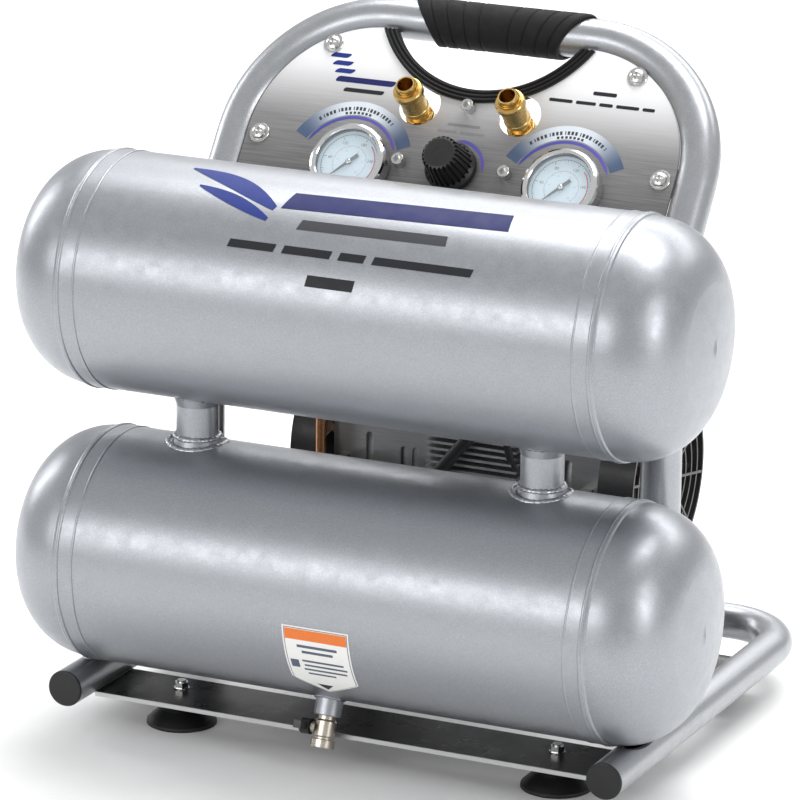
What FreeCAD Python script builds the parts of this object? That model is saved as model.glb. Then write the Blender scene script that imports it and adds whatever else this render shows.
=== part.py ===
import FreeCAD, Part
import math
import os

import Sketcher
from FreeCAD import Matrix, Placement, Rotation
from FreeCAD import Vector as V

# Twin tank portable air compressor.
# Working frame while building: X along the tanks (to the right), Y to the
# rear with y = 0 on the lower tank axis, Z up with z = 0 on the ground.
# Every sub-part is then moved by -origin_back along Y so that the finished
# object has its origin under the middle of its bounding box.

doc = FreeCAD.newDocument("air_compressor")

# ---------------------------------------------------------------- sizes (mm)
VALUES = [
    ("tank_radius", 80.0, "outer radius of both tank shells"),
    ("tank_wall", 2.0, "tank sheet thickness"),
    ("seam_half", 188.9, "seam plane to tank middle"),
    ("seam_band", 11.0, "width of the raised seam band"),
    ("lower_axis", 116.0, "lower tank axis above ground"),
    ("tank_pitch", 190.2, "height between the two tank axes"),
    ("upper_back", 4.0, "upper tank axis behind the lower one"),
    ("head_radius", 79.2, "outer radius of the dished head skirt"),
    ("knuckle_radius", 47.5, "head knuckle radius, outside"),
    ("crown_radius", 200.0, "head crown radius, outside"),
    ("link_half", 125.5, "link pipe distance from the middle"),
    ("link_back", 2.0, "link pipe axis behind the lower tank axis"),
    ("link_radius", 14.3, "link pipe outer radius"),
    ("link_bore", 11.8, "link pipe inner radius"),
    ("collar_radius", 19.8, "weld collar radius at the lower tank"),
    ("base_half", 197.0, "base tube leg distance from the middle"),
    ("base_height", 26.0, "base tube axis above ground"),
    ("base_tube_radius", 12.5, "base tube outer radius"),
    ("base_tube_wall", 2.0, "base tube wall"),
    ("base_front", -53.0, "front end of the base tube legs"),
    ("base_rear", 285.5, "rear crossbar axis"),
    ("base_bend", 45.0, "base tube bend radius on the axis"),
    ("plate_thick", 3.0, "foot plate thickness"),
    ("plate_bottom", 14.5, "underside of the foot plates"),
    ("plate_depth", 53.5, "foot plate front to back"),
    ("plate_half", 187.8, "half length of the foot plates"),
    ("front_plate_y", -28.5, "front edge of the front foot plate"),
    ("rear_plate_y", 184.0, "front edge of the rear foot plate"),
    ("foot_half", 139.0, "foot distance from the middle"),
    ("front_foot_y", 5.0, "front feet axis"),
    ("rear_foot_y", 211.0, "rear feet axis"),
    ("foot_radius", 24.0, "rubber foot rim radius"),
    ("ground_lift", 6.5, "height of the frame datum above the floor"),
    ("handle_half", 169.5, "handle tube axis distance from the middle"),
    ("handle_back", 98.0, "handle tube leg axis"),
    ("handle_foot", 15.0, "lower end of the handle tube legs"),
    ("handle_tube_radius", 13.75, "handle tube outer radius"),
    ("handle_tube_wall", 2.0, "handle tube wall"),
    ("handle_lean_bend", 60.0, "bend radius where the handle leans back"),
    ("handle_corner", 96.0, "upper corner bend radius on the axis"),
    ("handle_top", 99.5, "handle top axis above the panel datum, in its plane"),
    ("handle_depth", 9.0, "handle loop plane behind the panel face"),
    ("panel_lean", 36.2, "panel lean from vertical, degrees"),
    ("panel_back", 136.8, "panel datum point, y"),
    ("panel_up", 376.0, "panel datum point, z"),
    ("panel_thick", 1.5, "panel sheet"),
    ("panel_gap", 11.8, "panel edge inside the handle tube axis"),
    ("panel_drop", 68.0, "panel bottom edge under the datum"),
    ("cutout_centre", 128.3, "hand cut-out circle centre above the datum"),
    ("cutout_radius", 82.0, "hand cut-out radius"),
    ("trim_inner", 79.5, "edge trim inner radius"),
    ("trim_outer", 88.5, "edge trim outer radius"),
    ("grip_radius", 16.8, "foam grip outer radius"),
    ("grip_half", 66.0, "half length of the foam grip at its long side"),
    ("gauge_half", 78.0, "half the distance between the gauges"),
    ("gauge_shift", 5.5, "gauge pair off the middle, to the right"),
    ("gauge_level", -16.4, "gauge centre above the panel datum"),
    ("gauge_case_radius", 24.5, "gauge case radius"),
    ("bezel_radius", 27.4, "gauge bezel radius"),
    ("regulator_level", -9.8, "regulator axis above the panel datum"),
    ("knob_radius", 17.8, "regulator knob base radius"),
    ("coupler_half", 37.5, "coupler distance from the middle"),
    ("coupler_level", 27.3, "coupler root above the panel datum"),
    ("coupler_tilt", 11.3, "coupler axis upward of the panel normal, degrees"),
    ("coupler_length", 42.2, "coupler length in front of its root"),
    ("coupler_bore", 5.6, "coupler plug bore radius"),
    ("drain_x", -10.0, "drain position along the tank"),
    ("drain_angle", 22.0, "drain axis forward of straight down, degrees"),
    ("drain_boss_radius", 9.2, "drain boss radius"),
    ("drain_bore", 3.0, "drain valve bore radius"),
    ("pump_back", 213.0, "pump shaft axis, y"),
    ("pump_height", 147.0, "pump shaft axis, z"),
    ("motor_front", 150.0, "motor housing front face"),
    ("motor_rear", 270.0, "motor housing rear face"),
    ("motor_left", -32.0, "motor housing left end"),
    ("motor_right", 48.0, "motor housing right end"),
    ("stator_bore", 40.3, "stator bore radius"),
    ("rotor_radius", 39.6, "rotor radius"),
    ("shaft_radius", 8.0, "motor shaft radius"),
    ("piston_radius", 21.95, "piston radius"),
    ("cylinder_bore", 22.0, "pump cylinder bore radius"),
    ("crank_throw", 9.0, "crank eccentricity, half the piston stroke"),
    ("fan_radius", 60.0, "cooling fan tip radius"),
    ("guard_radius", 64.5, "fan guard outer radius"),
    ("guard_face", 129.0, "fan guard face distance from the middle"),
    ("origin_back", 108.6, "bounding box middle behind the lower tank axis"),
]
sheet = doc.addObject("Spreadsheet::Sheet", "Sizes")
for row, (alias, value, note) in enumerate(VALUES, start=1):
    sheet.set("A%d" % row, note)
    sheet.set("B%d" % row, repr(value))
    sheet.setAlias("B%d" % row, alias)
doc.recompute()


class Dim(float):
    """A number that remembers the sheet expression it came from."""

    def __new__(cls, value, text):
        item = float.__new__(cls, value)
        item.text = text
        return item


def text_of(value):
    return value.text if isinstance(value, Dim) else "(%.6f)" % float(value)


def calc(a, sign, b):
    fa, fb = float(a), float(b)
    value = {"+": lambda: fa + fb, "-": lambda: fa - fb,
             "*": lambda: fa * fb, "/": lambda: fa / fb}[sign]()
    return Dim(value, "(%s %s %s)" % (text_of(a), sign, text_of(b)))


Dim.__add__ = lambda a, b: calc(a, "+", b)
Dim.__radd__ = lambda a, b: calc(b, "+", a)
Dim.__sub__ = lambda a, b: calc(a, "-", b)
Dim.__rsub__ = lambda a, b: calc(b, "-", a)
Dim.__mul__ = lambda a, b: calc(a, "*", b)
Dim.__rmul__ = lambda a, b: calc(b, "*", a)
Dim.__truediv__ = lambda a, b: calc(a, "/", b)
Dim.__neg__ = lambda a: calc(0.0, "-", a)

S = {alias: Dim(float(sheet.get(alias)), "Sizes." + alias) for alias, _v, _n in VALUES}

R = S["tank_radius"]
LOW = S["lower_axis"]
HIGH = LOW + S["tank_pitch"]
UPB = S["upper_back"]
BACK = S["origin_back"]
LIFT = S["ground_lift"]

LEAN = math.radians(float(S["panel_lean"]))
PANEL_ROT = Rotation(V(1, 0, 0), 90.0 - float(S["panel_lean"]))
PANEL_BASE = (0.0, S["panel_back"], S["panel_up"])


def panel_point(x, s, d):
    """A point given across the panel, up the panel and out of the panel."""
    p = PANEL_ROT.multVec(V(x, s, d))
    return V(p.x, p.y + float(S["panel_back"]), p.z + float(S["panel_up"]))


# ------------------------------------------------------------------- helpers
def bind(obj, prop, value):
    if isinstance(value, Dim):
        obj.setExpression(prop, value.text)
    else:
        setattr(obj, prop, float(value))


def locate(obj, base, axis=None, rot=None):
    if rot is None:
        rot = Rotation(V(0, 0, 1), V(*axis)) if axis is not None else Rotation()
    obj.Placement = Placement(V(*[float(c) for c in base]), rot)
    for name, c in zip("xyz", base):
        if isinstance(c, Dim):
            obj.setExpression("Placement.Base." + name, c.text)
    return obj


def cyl(radius, length, base, axis=(0, 0, 1)):
    obj = doc.addObject("Part::Cylinder", "Cyl")
    bind(obj, "Radius", radius)
    bind(obj, "Height", length)
    return locate(obj, base, axis)


def cone(r1, r2, length, base, axis=(0, 0, 1)):
    obj = doc.addObject("Part::Cone", "Cone")
    bind(obj, "Radius1", r1)
    bind(obj, "Radius2", r2)
    bind(obj, "Height", length)
    return locate(obj, base, axis)


def ball(radius, base):
    obj = doc.addObject("Part::Sphere", "Ball")
    bind(obj, "Radius", radius)
    return locate(obj, base)


def torus(big, small, base, axis=(0, 0, 1)):
    obj = doc.addObject("Part::Torus", "Ring")
    bind(obj, "Radius1", big)
    bind(obj, "Radius2", small)
    return locate(obj, base, axis)


def box(lx, ly, lz, corner, rot=None):
    obj = doc.addObject("Part::Box", "Box")
    bind(obj, "Length", lx)
    bind(obj, "Width", ly)
    bind(obj, "Height", lz)
    return locate(obj, corner, rot=rot or Rotation())


def hexagon(across, length, base, axis=(0, 0, 1)):
    obj = doc.addObject("Part::Prism", "Hex")
    obj.Polygon = 6
    bind(obj, "Circumradius", across / 2.0 / math.cos(math.pi / 6))
    bind(obj, "Height", length)
    return locate(obj, base, axis)


def fuse(*objs):
    obj = doc.addObject("Part::MultiFuse", "Fuse")
    obj.Shapes = list(objs)
    obj.Refine = False
    return obj


def cut(base, *tools):
    tool = tools[0] if len(tools) == 1 else together(*tools)
    obj = doc.addObject("Part::Cut", "Cut")
    obj.Base = base
    obj.Tool = tool
    obj.Refine = False
    return obj


def together(*objs):
    obj = doc.addObject("Part::Compound", "Group")
    obj.Links = list(objs)
    return obj


def origin_plane(body, role):
    return [f for f in body.Origin.OriginFeatures if f.Role == role][0]


def trace(sketch, points, tag=""):
    """Closed outline through points (u, v[, radius of the arc to the next]).
    A positive radius has its centre on the left of the way round."""
    count = len(points)
    first = sketch.GeometryCount
    ends = []
    for i, p in enumerate(points):
        q = points[(i + 1) % count]
        a, b = V(float(p[0]), float(p[1]), 0), V(float(q[0]), float(q[1]), 0)
        if len(p) > 2:
            rad = abs(float(p[2]))
            left = float(p[2]) > 0
            mid, way = (a + b) * 0.5, b - a
            side = V(-way.y, way.x, 0).normalize()
            if not left:
                side = side * -1
            centre = mid + side * math.sqrt(max(rad * rad - way.Length ** 2 / 4.0, 0.0))
            s, e = (a, b) if left else (b, a)
            a0 = math.atan2(s.y - centre.y, s.x - centre.x)
            a1 = math.atan2(e.y - centre.y, e.x - centre.x)
            geo = sketch.addGeometry(Part.ArcOfCircle(Part.Circle(centre, V(0, 0, 1), rad), a0, a1), False)
            ends.append((geo, 1, 2) if left else (geo, 2, 1))
            k = sketch.addConstraint(Sketcher.Constraint("Radius", geo, rad))
            if isinstance(p[2], Dim):
                name = "rad%s_%d" % (tag, i)
                sketch.renameConstraint(k, name)
                sketch.setExpression("Constraints." + name, text_of(p[2] if left else -p[2]))
        else:
            geo = sketch.addGeometry(Part.LineSegment(a, b), False)
            ends.append((geo, 1, 2))
    for i in range(count):
        g0, _s, e0 = ends[i - 1]
        g1, s1, _e = ends[i]
        sketch.addConstraint(Sketcher.Constraint("Coincident", g0, e0, g1, s1))
    for i, p in enumerate(points):
        geo, s, _e = ends[i]
        for kind, value, axis, mark in (("DistanceX", p[0], -2, "x"), ("DistanceY", p[1], -1, "y")):
            if abs(float(value)) < 1e-9:
                sketch.addConstraint(Sketcher.Constraint("PointOnObject", geo, s, axis))
                continue
            k = sketch.addConstraint(Sketcher.Constraint(kind, -1, 1, geo, s, float(value)))
            if isinstance(value, Dim):
                name = "%s%s_%d" % (mark, tag, i)
                sketch.renameConstraint(k, name)
                sketch.setExpression("Constraints." + name, value.text)
    return first


def hole_circle(sketch, cx, cy, radius, tag):
    geo = sketch.addGeometry(Part.Circle(V(float(cx), float(cy), 0), V(0, 0, 1), float(radius)), False)
    k = sketch.addConstraint(Sketcher.Constraint("Radius", geo, float(radius)))
    if isinstance(radius, Dim):
        sketch.renameConstraint(k, "hr" + tag)
        sketch.setExpression("Constraints.hr" + tag, radius.text)
    for kind, value, axis, mark in (("DistanceX", cx, -2, "hx"), ("DistanceY", cy, -1, "hy")):
        if abs(float(value)) < 1e-9:
            sketch.addConstraint(Sketcher.Constraint("PointOnObject", geo, 3, axis))
            continue
        k = sketch.addConstraint(Sketcher.Constraint(kind, -1, 1, geo, 3, float(value)))
        if isinstance(value, Dim):
            sketch.renameConstraint(k, mark + tag)
            sketch.setExpression("Constraints." + mark + tag, value.text)


def new_sketch(body, role, name):
    sketch = body.newObject("Sketcher::SketchObject", name)
    sketch.AttachmentSupport = (origin_plane(body, role), [""])
    sketch.MapMode = "FlatFace"
    return sketch


def turned(points, base=(0, 0, 0), axis=(0, 0, 1), rot=None):
    """A Body turned about its own Z from (radius, height) points."""
    body = doc.addObject("PartDesign::Body", "Turned")
    sketch = new_sketch(body, "XZ_Plane", "Profile")
    trace(sketch, points)
    rev = body.newObject("PartDesign::Revolution", "Revolution")
    rev.Profile = sketch
    rev.ReferenceAxis = (sketch, ["V_Axis"])
    rev.Angle = 360.0
    body.Tip = rev
    return locate(body, base, axis, rot)


def plate(outline, thick, base=(0, 0, 0), rot=None, holes=()):
    """A Body padded up its own Z from an XY outline."""
    body = doc.addObject("PartDesign::Body", "Plate")
    sketch = new_sketch(body, "XY_Plane", "Outline")
    trace(sketch, outline)
    for i, (cx, cy, rad) in enumerate(holes):
        hole_circle(sketch, cx, cy, rad, str(i))
    pad = body.newObject("PartDesign::Pad", "Pad")
    pad.Profile = sketch
    bind(pad, "Length", thick)
    body.Tip = pad
    return locate(body, base, rot=rot or Rotation())


def round_path(points, radii):
    """A wire of straight runs joined by tangent arcs."""
    edges = []
    at = points[0]
    for i in range(1, len(points) - 1):
        p, rad = points[i], radii[i - 1]
        u = (p - points[i - 1]).normalize()
        w = (points[i + 1] - p).normalize()
        turn = u.getAngle(w)
        back = rad * math.tan(turn / 2)
        a, b = p - u * back, p + w * back
        inward = (w - u).normalize()
        mid = p + inward * (rad / math.cos(turn / 2) - rad)
        if (a - at).Length > 1e-6:
            edges.append(Part.LineSegment(at, a).toShape())
        edges.append(Part.Arc(a, mid, b).toShape())
        at = b
    edges.append(Part.LineSegment(at, points[-1]).toShape())
    return Part.Wire(edges)


def tube_shape(points, radii, outer, inner=0.0):
    path = round_path(points, radii)
    way = (points[1] - points[0]).normalize()

    def solid(radius):
        ring = Part.Wire([Part.makeCircle(radius, points[0], way)])
        return path.makePipeShell([ring], True, True)

    shape = solid(float(outer))
    area = math.pi * float(outer) ** 2
    if inner:
        shape = shape.cut(solid(float(inner)))
        area -= math.pi * float(inner) ** 2
    wanted = area * path.Length
    if abs(shape.Volume - wanted) > 0.01 * wanted:
        raise RuntimeError("tube volume %.0f, wanted %.0f" % (shape.Volume, wanted))
    return shape


def fixed(shape):
    obj = doc.addObject("Part::Feature", "Shape")
    obj.Shape = shape
    return obj


PARTS = []


def out(label, obj, frame="ground"):
    """Names a finished sub-part and moves it into the object's own frame."""
    obj.Label = label
    if frame == "panel":
        obj.Placement = Placement(V(0, float(S["panel_back"] - BACK), float(S["panel_up"] + LIFT)), PANEL_ROT)
        obj.setExpression("Placement.Base.y", (S["panel_back"] - BACK).text)
        obj.setExpression("Placement.Base.z", (S["panel_up"] + LIFT).text)
    else:
        at = obj.Placement.Base
        old = [e for n, e in obj.ExpressionEngine if n.strip(".") == "Placement.Base.y"]
        high = [e for n, e in obj.ExpressionEngine if n.strip(".") == "Placement.Base.z"]
        obj.Placement = Placement(V(at.x, at.y - float(BACK), at.z + float(LIFT)), obj.Placement.Rotation)
        obj.setExpression("Placement.Base.z",
                          "(%s) + Sizes.ground_lift" % high[0] if high else (at.z + LIFT).text)
        obj.setExpression("Placement.Base.y",
                          "(%s) - Sizes.origin_back" % old[0] if old else (at.y - BACK).text)
    PARTS.append((label, obj))
    return obj


def grouped(label, obj, places, frame="ground"):
    """Several equal solids made from one pattern piece."""
    doc.recompute()
    shape = obj.Shape
    inverse = obj.Placement.inverse()
    solids = []
    for p in places:
        piece = shape.copy()
        piece.Placement = p.multiply(obj.Placement) if p else obj.Placement
        solids.append(piece)
    return out(label, fixed(Part.makeCompound(solids)), frame)


# --------------------------------------------------------------------- tanks
SH = S["seam_half"]
T = S["tank_wall"]
BAND = S["seam_band"]


def tank_shell(y, z):
    inner = R - T
    pts = [(inner, -SH), (inner, SH), (R + 0.35, SH), (R + 0.35, SH - BAND), (R, SH - BAND - 0.5),
           (R, 0.5 + BAND - SH), (R + 0.35, BAND - SH), (R + 0.35, -SH)]
    return turned(pts, (0.0, y, z), (1, 0, 0))


def head_points():
    kr, cr, hr = float(S["knuckle_radius"]), float(S["crown_radius"]), float(S["head_radius"])
    t, flange = float(T), 3.4
    kx = hr - kr
    drop = math.sqrt((cr - kr) ** 2 - kx ** 2)
    apex = flange - drop + cr
    ux, uz = kx / (cr - kr), drop / (cr - kr)
    ox, oz = cr * ux, flange - drop + cr * uz
    ix, iz = (cr - t) * ux, flange - drop + (cr - t) * uz
    return [(0.0, apex, -S["crown_radius"]), (ox, oz, -S["knuckle_radius"]), (S["head_radius"], flange),
            (R + 0.3, 2.6), (R + 0.8, 1.2), (R + 0.5, 0.0), (R - T - 0.1, 0.0), (R - T - 0.1, -BAND),
            (R - T - 2.1, -BAND), (R - T - 2.1, 0.0), (S["head_radius"] - T, flange, S["knuckle_radius"] - T),
            (ix, iz, S["crown_radius"] - T), (0.0, apex - t)]


# the drain boss is welded under the lower shell
da = math.radians(float(S["drain_angle"]))
ddir = (0.0, -math.sin(da), -math.cos(da))
DX, DB = S["drain_x"], S["drain_bore"]
boss = turned([(4.0, 76.0), (S["drain_boss_radius"], 76.0), (S["drain_boss_radius"], 91.4),
               (S["drain_boss_radius"] - 0.6, 92.0), (4.0, 92.0)], (DX, 0.0, LOW), ddir)
boss_cut = cut(boss, cyl(R - 0.6, 60.0, (DX - 30.0, 0.0, LOW), (1, 0, 0)))
out("lower_tank_shell", fuse(tank_shell(0.0, LOW), boss_cut))
out("upper_tank_shell", tank_shell(UPB, HIGH))
for label, y, z in (("lower_tank_heads", 0.0, LOW), ("upper_tank_heads", UPB, HIGH)):
    right = turned(head_points(), (SH, y, z), (1, 0, 0))
    left = turned(head_points(), (-SH, y, z), (-1, 0, 0))
    out(label, together(right, left))

# the two welded pipes that join the tanks
solids = []
for side in (-1, 1):
    x = S["link_half"] * side
    lb = S["link_back"]
    stand = fuse(cyl(S["link_radius"], HIGH - LOW - 100.0, (x, lb, LOW + 50.0)),
                 cone(S["collar_radius"], S["link_radius"] + 0.05, 12.5, (x, lb, LOW + R - 7.0)),
                 cone(S["link_radius"] + 0.05, 17.0, 9.0, (x, lb, HIGH - R - 5.0)))
    bore = cyl(S["link_bore"], HIGH - LOW, (x, lb, LOW))
    lower = cyl(R, 60.0, (x - 30.0, 0.0, LOW), (1, 0, 0))
    upper = cyl(R, 60.0, (x - 30.0, UPB, HIGH), (1, 0, 0))
    solids.append(cut(stand, bore, lower, upper))
out("tank_link_pipes", together(*solids))

# ---------------------------------------------------------------- base frame
BH, BZ, BR = S["base_half"], S["base_height"], S["base_tube_radius"]
base_body = doc.addObject("PartDesign::Body", "BaseTube")
path = new_sketch(base_body, "XY_Plane", "Path")
bend = S["base_bend"]
y0, y1 = float(S["base_front"]), float(S["base_rear"])
hw, bd = float(BH), float(bend)
g0 = path.addGeometry(Part.LineSegment(V(-hw, y0, 0), V(-hw, y1 - bd, 0)), False)
g1 = path.addGeometry(Part.ArcOfCircle(Part.Circle(V(-hw + bd, y1 - bd, 0), V(0, 0, 1), bd), math.pi / 2, math.pi), False)
g2 = path.addGeometry(Part.LineSegment(V(-hw + bd, y1, 0), V(hw - bd, y1, 0)), False)
g3 = path.addGeometry(Part.ArcOfCircle(Part.Circle(V(hw - bd, y1 - bd, 0), V(0, 0, 1), bd), 0, math.pi / 2), False)
g4 = path.addGeometry(Part.LineSegment(V(hw, y1 - bd, 0), V(hw, y0, 0)), False)
for a, ae, b, bs in ((g0, 2, g1, 2), (g1, 1, g2, 1), (g2, 2, g3, 2), (g3, 1, g4, 1)):
    path.addConstraint(Sketcher.Constraint("Coincident", a, ae, b, bs))
for geo, pos, ex, ey, tag in ((g0, 1, -BH, S["base_front"], "a"), (g0, 2, -BH, S["base_rear"] - bend, "b"),
                              (g2, 1, bend - BH, S["base_rear"], "c"), (g2, 2, BH - bend, S["base_rear"], "d"),
                              (g4, 1, BH, S["base_rear"] - bend, "e"), (g4, 2, BH, S["base_front"], "f")):
    for kind, value, mark in (("DistanceX", ex, "px"), ("DistanceY", ey, "py")):
        k = path.addConstraint(Sketcher.Constraint(kind, -1, 1, geo, pos, float(value)))
        path.renameConstraint(k, mark + tag)
        path.setExpression("Constraints.%s%s" % (mark, tag), value.text)
for geo, tag in ((g1, "ra"), (g3, "rb")):
    k = path.addConstraint(Sketcher.Constraint("Radius", geo, bd))
    path.renameConstraint(k, tag)
    path.setExpression("Constraints." + tag, bend.text)
ring = new_sketch(base_body, "XZ_Plane", "Ring")
ring.AttachmentOffset = Placement(V(0, 0, -y0), Rotation())
ring.setExpression("AttachmentOffset.Base.z", (-S["base_front"]).text)
hole_circle(ring, -BH, 0.0, BR, "o")
hole_circle(ring, -BH, 0.0, BR - S["base_tube_wall"], "i")
pipe = base_body.newObject("PartDesign::AdditivePipe", "Pipe")
pipe.Profile = ring
pipe.Spine = (path, ["Edge1", "Edge2", "Edge3", "Edge4", "Edge5"])
base_body.Tip = pipe
locate(base_body, (0.0, 0.0, BZ))
saddle = [cyl(R + 1.2, 40.0, (x, 0.0, LOW), (1, 0, 0)) for x in (-215.0, 175.0)]
out("base_frame_tube", cut(base_body, *saddle))

# black plastic plugs in the front ends of the base tube, with a flat face as wide as the tube
BW = BR - S["base_tube_wall"]
cap = [(0.0, 1.6), (BR - 1.0, 1.6), (BR - 0.3, 1.2), (BR, 0.5), (BR, 0.0), (BW - 0.05, 0.0), (BW - 0.05, -12.0),
       (BW - 0.9, -13.0), (BW - 3.0, -13.0), (BW - 3.0, 0.0), (0.0, 0.0)]
caps = [turned(cap, (BH * s, S["base_front"], BZ), (0, -1, 0)) for s in (-1, 1)]
out("base_end_caps", together(*caps))

# foot plates with their bolt holes
PB, PT, PD, PH = S["plate_bottom"], S["plate_thick"], S["plate_depth"], S["plate_half"]
FH = S["foot_half"]


def foot_plate(label, y, foot_y):
    pts = [(-PH, 0.0), (PH, 0.0), (PH, PD), (-PH, PD)]
    holes = [(-FH, foot_y - y, 3.2), (FH, foot_y - y, 3.2)]
    out(label, plate(pts, PT, (0.0, y, PB), holes=holes))


foot_plate("front_foot_plate", S["front_plate_y"], S["front_foot_y"])
foot_plate("rear_foot_plate", S["rear_plate_y"], S["rear_foot_y"])

FEET = [(s, y) for s in (-1, 1) for y in (S["front_foot_y"], S["rear_foot_y"])]
FR = S["foot_radius"]
foot = [(3.0, PB + LIFT), (9.5, PB + LIFT), (10.2, PB + 1.5), (14.4, PB - 4.0), (20.5, 5.5), (FR - 0.3, 2.4), (FR, 1.2),
        (FR, 0.0), (FR - 2.5, 0.0), (19.0, 2.4), (12.0, 4.0), (0.0, 4.6), (0.0, 6.2), (5.5, 6.2), (5.5, 9.2), (3.0, 9.2)]
out("rubber_feet", together(*[turned(foot, (FH * s, y, 0.0 - LIFT)) for s, y in FEET]))
bolts = []
for s, y in FEET:
    x = FH * s
    bolts.append(fuse(cyl(5.5, 3.0, (x, y, 6.2 - LIFT)), cyl(3.0, PB + PT + LIFT - 9.2 + 6.0, (x, y, 9.2 - LIFT))))
    top = PB + PT
    nut = fuse(cyl(5.4, 0.8, (x, y, top)), hexagon(8.6, 3.8, (x, y, top + 0.8)))
    bolts.append(cut(nut, cyl(3.0, 12.0, (x, y, top - 2.0))))
out("foot_fasteners", together(*bolts))

# -------------------------------------------------------------- handle frame
HH, HB, HR = S["handle_half"], S["handle_back"], S["handle_tube_radius"]
sin_l, cos_l = math.sin(LEAN), math.cos(LEAN)
hd, ht, hc = float(S["handle_depth"]), float(S["handle_top"]), float(S["handle_corner"])
loop0 = panel_point(0, 0, -hd)
s_knee = (float(HB) - loop0.y) / sin_l


def loop_point(x, s):
    return panel_point(x, s, -hd)


hx = float(HH)
leg_low = V(-hx, float(HB), float(S["handle_foot"]))
knee = loop_point(-hx, s_knee)
handle_pts = [leg_low, knee, loop_point(-hx, ht), loop_point(hx, ht), V(hx, knee.y, knee.z), V(hx, float(HB), leg_low.z)]
lb = float(S["handle_lean_bend"])
handle_radii = [lb, hc, hc, lb]
handle_solid = tube_shape(handle_pts, handle_radii, HR)
handle = fixed(tube_shape(handle_pts, handle_radii, HR, HR - S["handle_tube_wall"]))
out("handle_frame_tube", handle)

# welded gussets (leg to base tube) and the sheet tabs that hold the panel
handle_tool = fixed(handle_solid)
pieces = []
for s in (-1, 1):
    blank = plate([(hx * s, BZ + 5.0), (BH * s, BZ + 5.0), (BH * s, BZ + 22.0), (HH * s, BZ + 52.0)], 4.0,
                  (0.0, HB + 2.0, 0.0), rot=Rotation(V(1, 0, 0), 90))
    leg = cyl(HR, 200.0, (HH * s, HB, 0.0))
    rail = cyl(BR, 60.0, (BH * s, HB - 30.0, BZ), (0, 1, 0))
    pieces.append(cut(blank, leg, rail))
TAB_CORNER = (112.5, 71.4)
TAB_SIDE = (147.8, 0.0)
tabs_local = []
for s in (-1, 1):
    for (tx, ts) in (TAB_CORNER, TAB_SIDE):
        cx, cs = float(HH) - hc, float(S["handle_top"]) - hc
        ang = math.degrees(math.atan2(ts - cs, tx - cx)) if ts > 10 else 0.0
        rot = Rotation(V(0, 0, 1), ang if s > 0 else 180.0 - ang)
        out_len = 13.0
        corner = rot.multVec(V(-9.0, -10.0, 0.0)) + V(tx * s, ts, -4.5)
        tab = box(9.0 + out_len, 20.0, 3.0, (corner.x, corner.y, corner.z), rot)
        tabs_local.append(cut(tab, cyl(2.1, 12.0, (tx * s, ts, -8.0))))
tabs = together(*tabs_local)
locate(tabs, PANEL_BASE, rot=PANEL_ROT)
doc.recompute()
pieces.append(cut(tabs, handle_tool))
out("frame_weld_brackets", together(*pieces))

# foam grip with slanted ends, on the top run
GH, GR = S["grip_half"], S["grip_radius"]
sleeve = cut(cyl(GR, GH * 2.0, (3.0 - GH, HH * 0.0 + ht, -hd), (1, 0, 0)),
             cyl(HR, 200.0, (-100.0, ht, -hd), (1, 0, 0)))
for s in (-1, 1):
    rot = Rotation(V(0, 0, 1), -31.0 * s)
    edge = V(3.0 + s * float(GH), ht + float(GR), -hd - 30.0)
    shift = rot.multVec(V(0.0 if s > 0 else -60.0, -60.0, 0.0))
    sleeve = cut(sleeve, box(60.0, 90.0, 60.0, tuple(edge + shift), rot))
out("handle_grip", sleeve, "panel")

# --------------------------------------------------------------- front panel
PG = S["panel_gap"]
pw = HH - PG
top_s = S["handle_top"] - PG
knee_s = S["handle_top"] - S["handle_corner"]
knee_x = HH - S["handle_corner"]
cc, cr_ = S["cutout_centre"], S["cutout_radius"]
lip = math.sqrt(float(cr_) ** 2 - (float(cc) - float(top_s)) ** 2)
outline = [(-pw, -S["panel_drop"]), (pw, -S["panel_drop"]), (pw, knee_s, S["handle_corner"] - PG), (knee_x, top_s),
           (lip, top_s, -cr_), (-lip, top_s), (-knee_x, top_s, S["handle_corner"] - PG), (-pw, knee_s)]
GX, GL, GC, GS = S["gauge_half"], S["gauge_level"], S["gauge_case_radius"], S["gauge_shift"]
CX = S["coupler_half"]
holes = [(-GX + GS, GL, GC + 0.4), (GX + GS, GL, GC + 0.4), (0.0, S["regulator_level"], 13.6), (-37.0, 34.0, 15.0), (37.0, 34.0, 15.0)]
SOCKETS = [(-39.0, -9.3), (39.0, -9.3), (0.0, 35.4)]
PANS = [(-112.5, 71.4), (112.5, 71.4), (-147.8, 0.0), (147.8, 0.0)]
holes += [(x, s, 2.6) for x, s in SOCKETS] + [(x, s, 2.3) for x, s in PANS]
panel = plate(outline, S["panel_thick"], holes=holes)
panel_pl = Placement(V(0, 0, -float(S["panel_thick"])), Rotation())
panel.Placement = panel_pl
panel_wrap = together(panel)
out("control_panel", panel_wrap, "panel")

# ribbed rubber trim round the hand cut-out
TI, TO = S["trim_inner"], S["trim_outer"]
section = [(TI, -3.6), (TI + 0.4, -4.0), (TO - 0.2, -4.0), (TO, -3.8), (TO, -1.6), (cr_ - 0.1, -1.6), (cr_ - 0.1, 0.1),
           (TO, 0.1), (TO, 2.0), (TO - 0.3, 2.3), (TI + 0.3, 2.3), (TI, 2.0)]
trim_ring = turned(section, (0.0, cc, 0.0))
ribs = [torus(TI + 1.7 + k * 2.85, 0.95, (0.0, cc, 2.3)) for k in range(3)]
trim = cut(fuse(trim_ring, *ribs), box(240.0, 160.0, 20.0, (-120.0, 86.4, -10.0)))
out("panel_edge_trim", trim, "panel")

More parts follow.
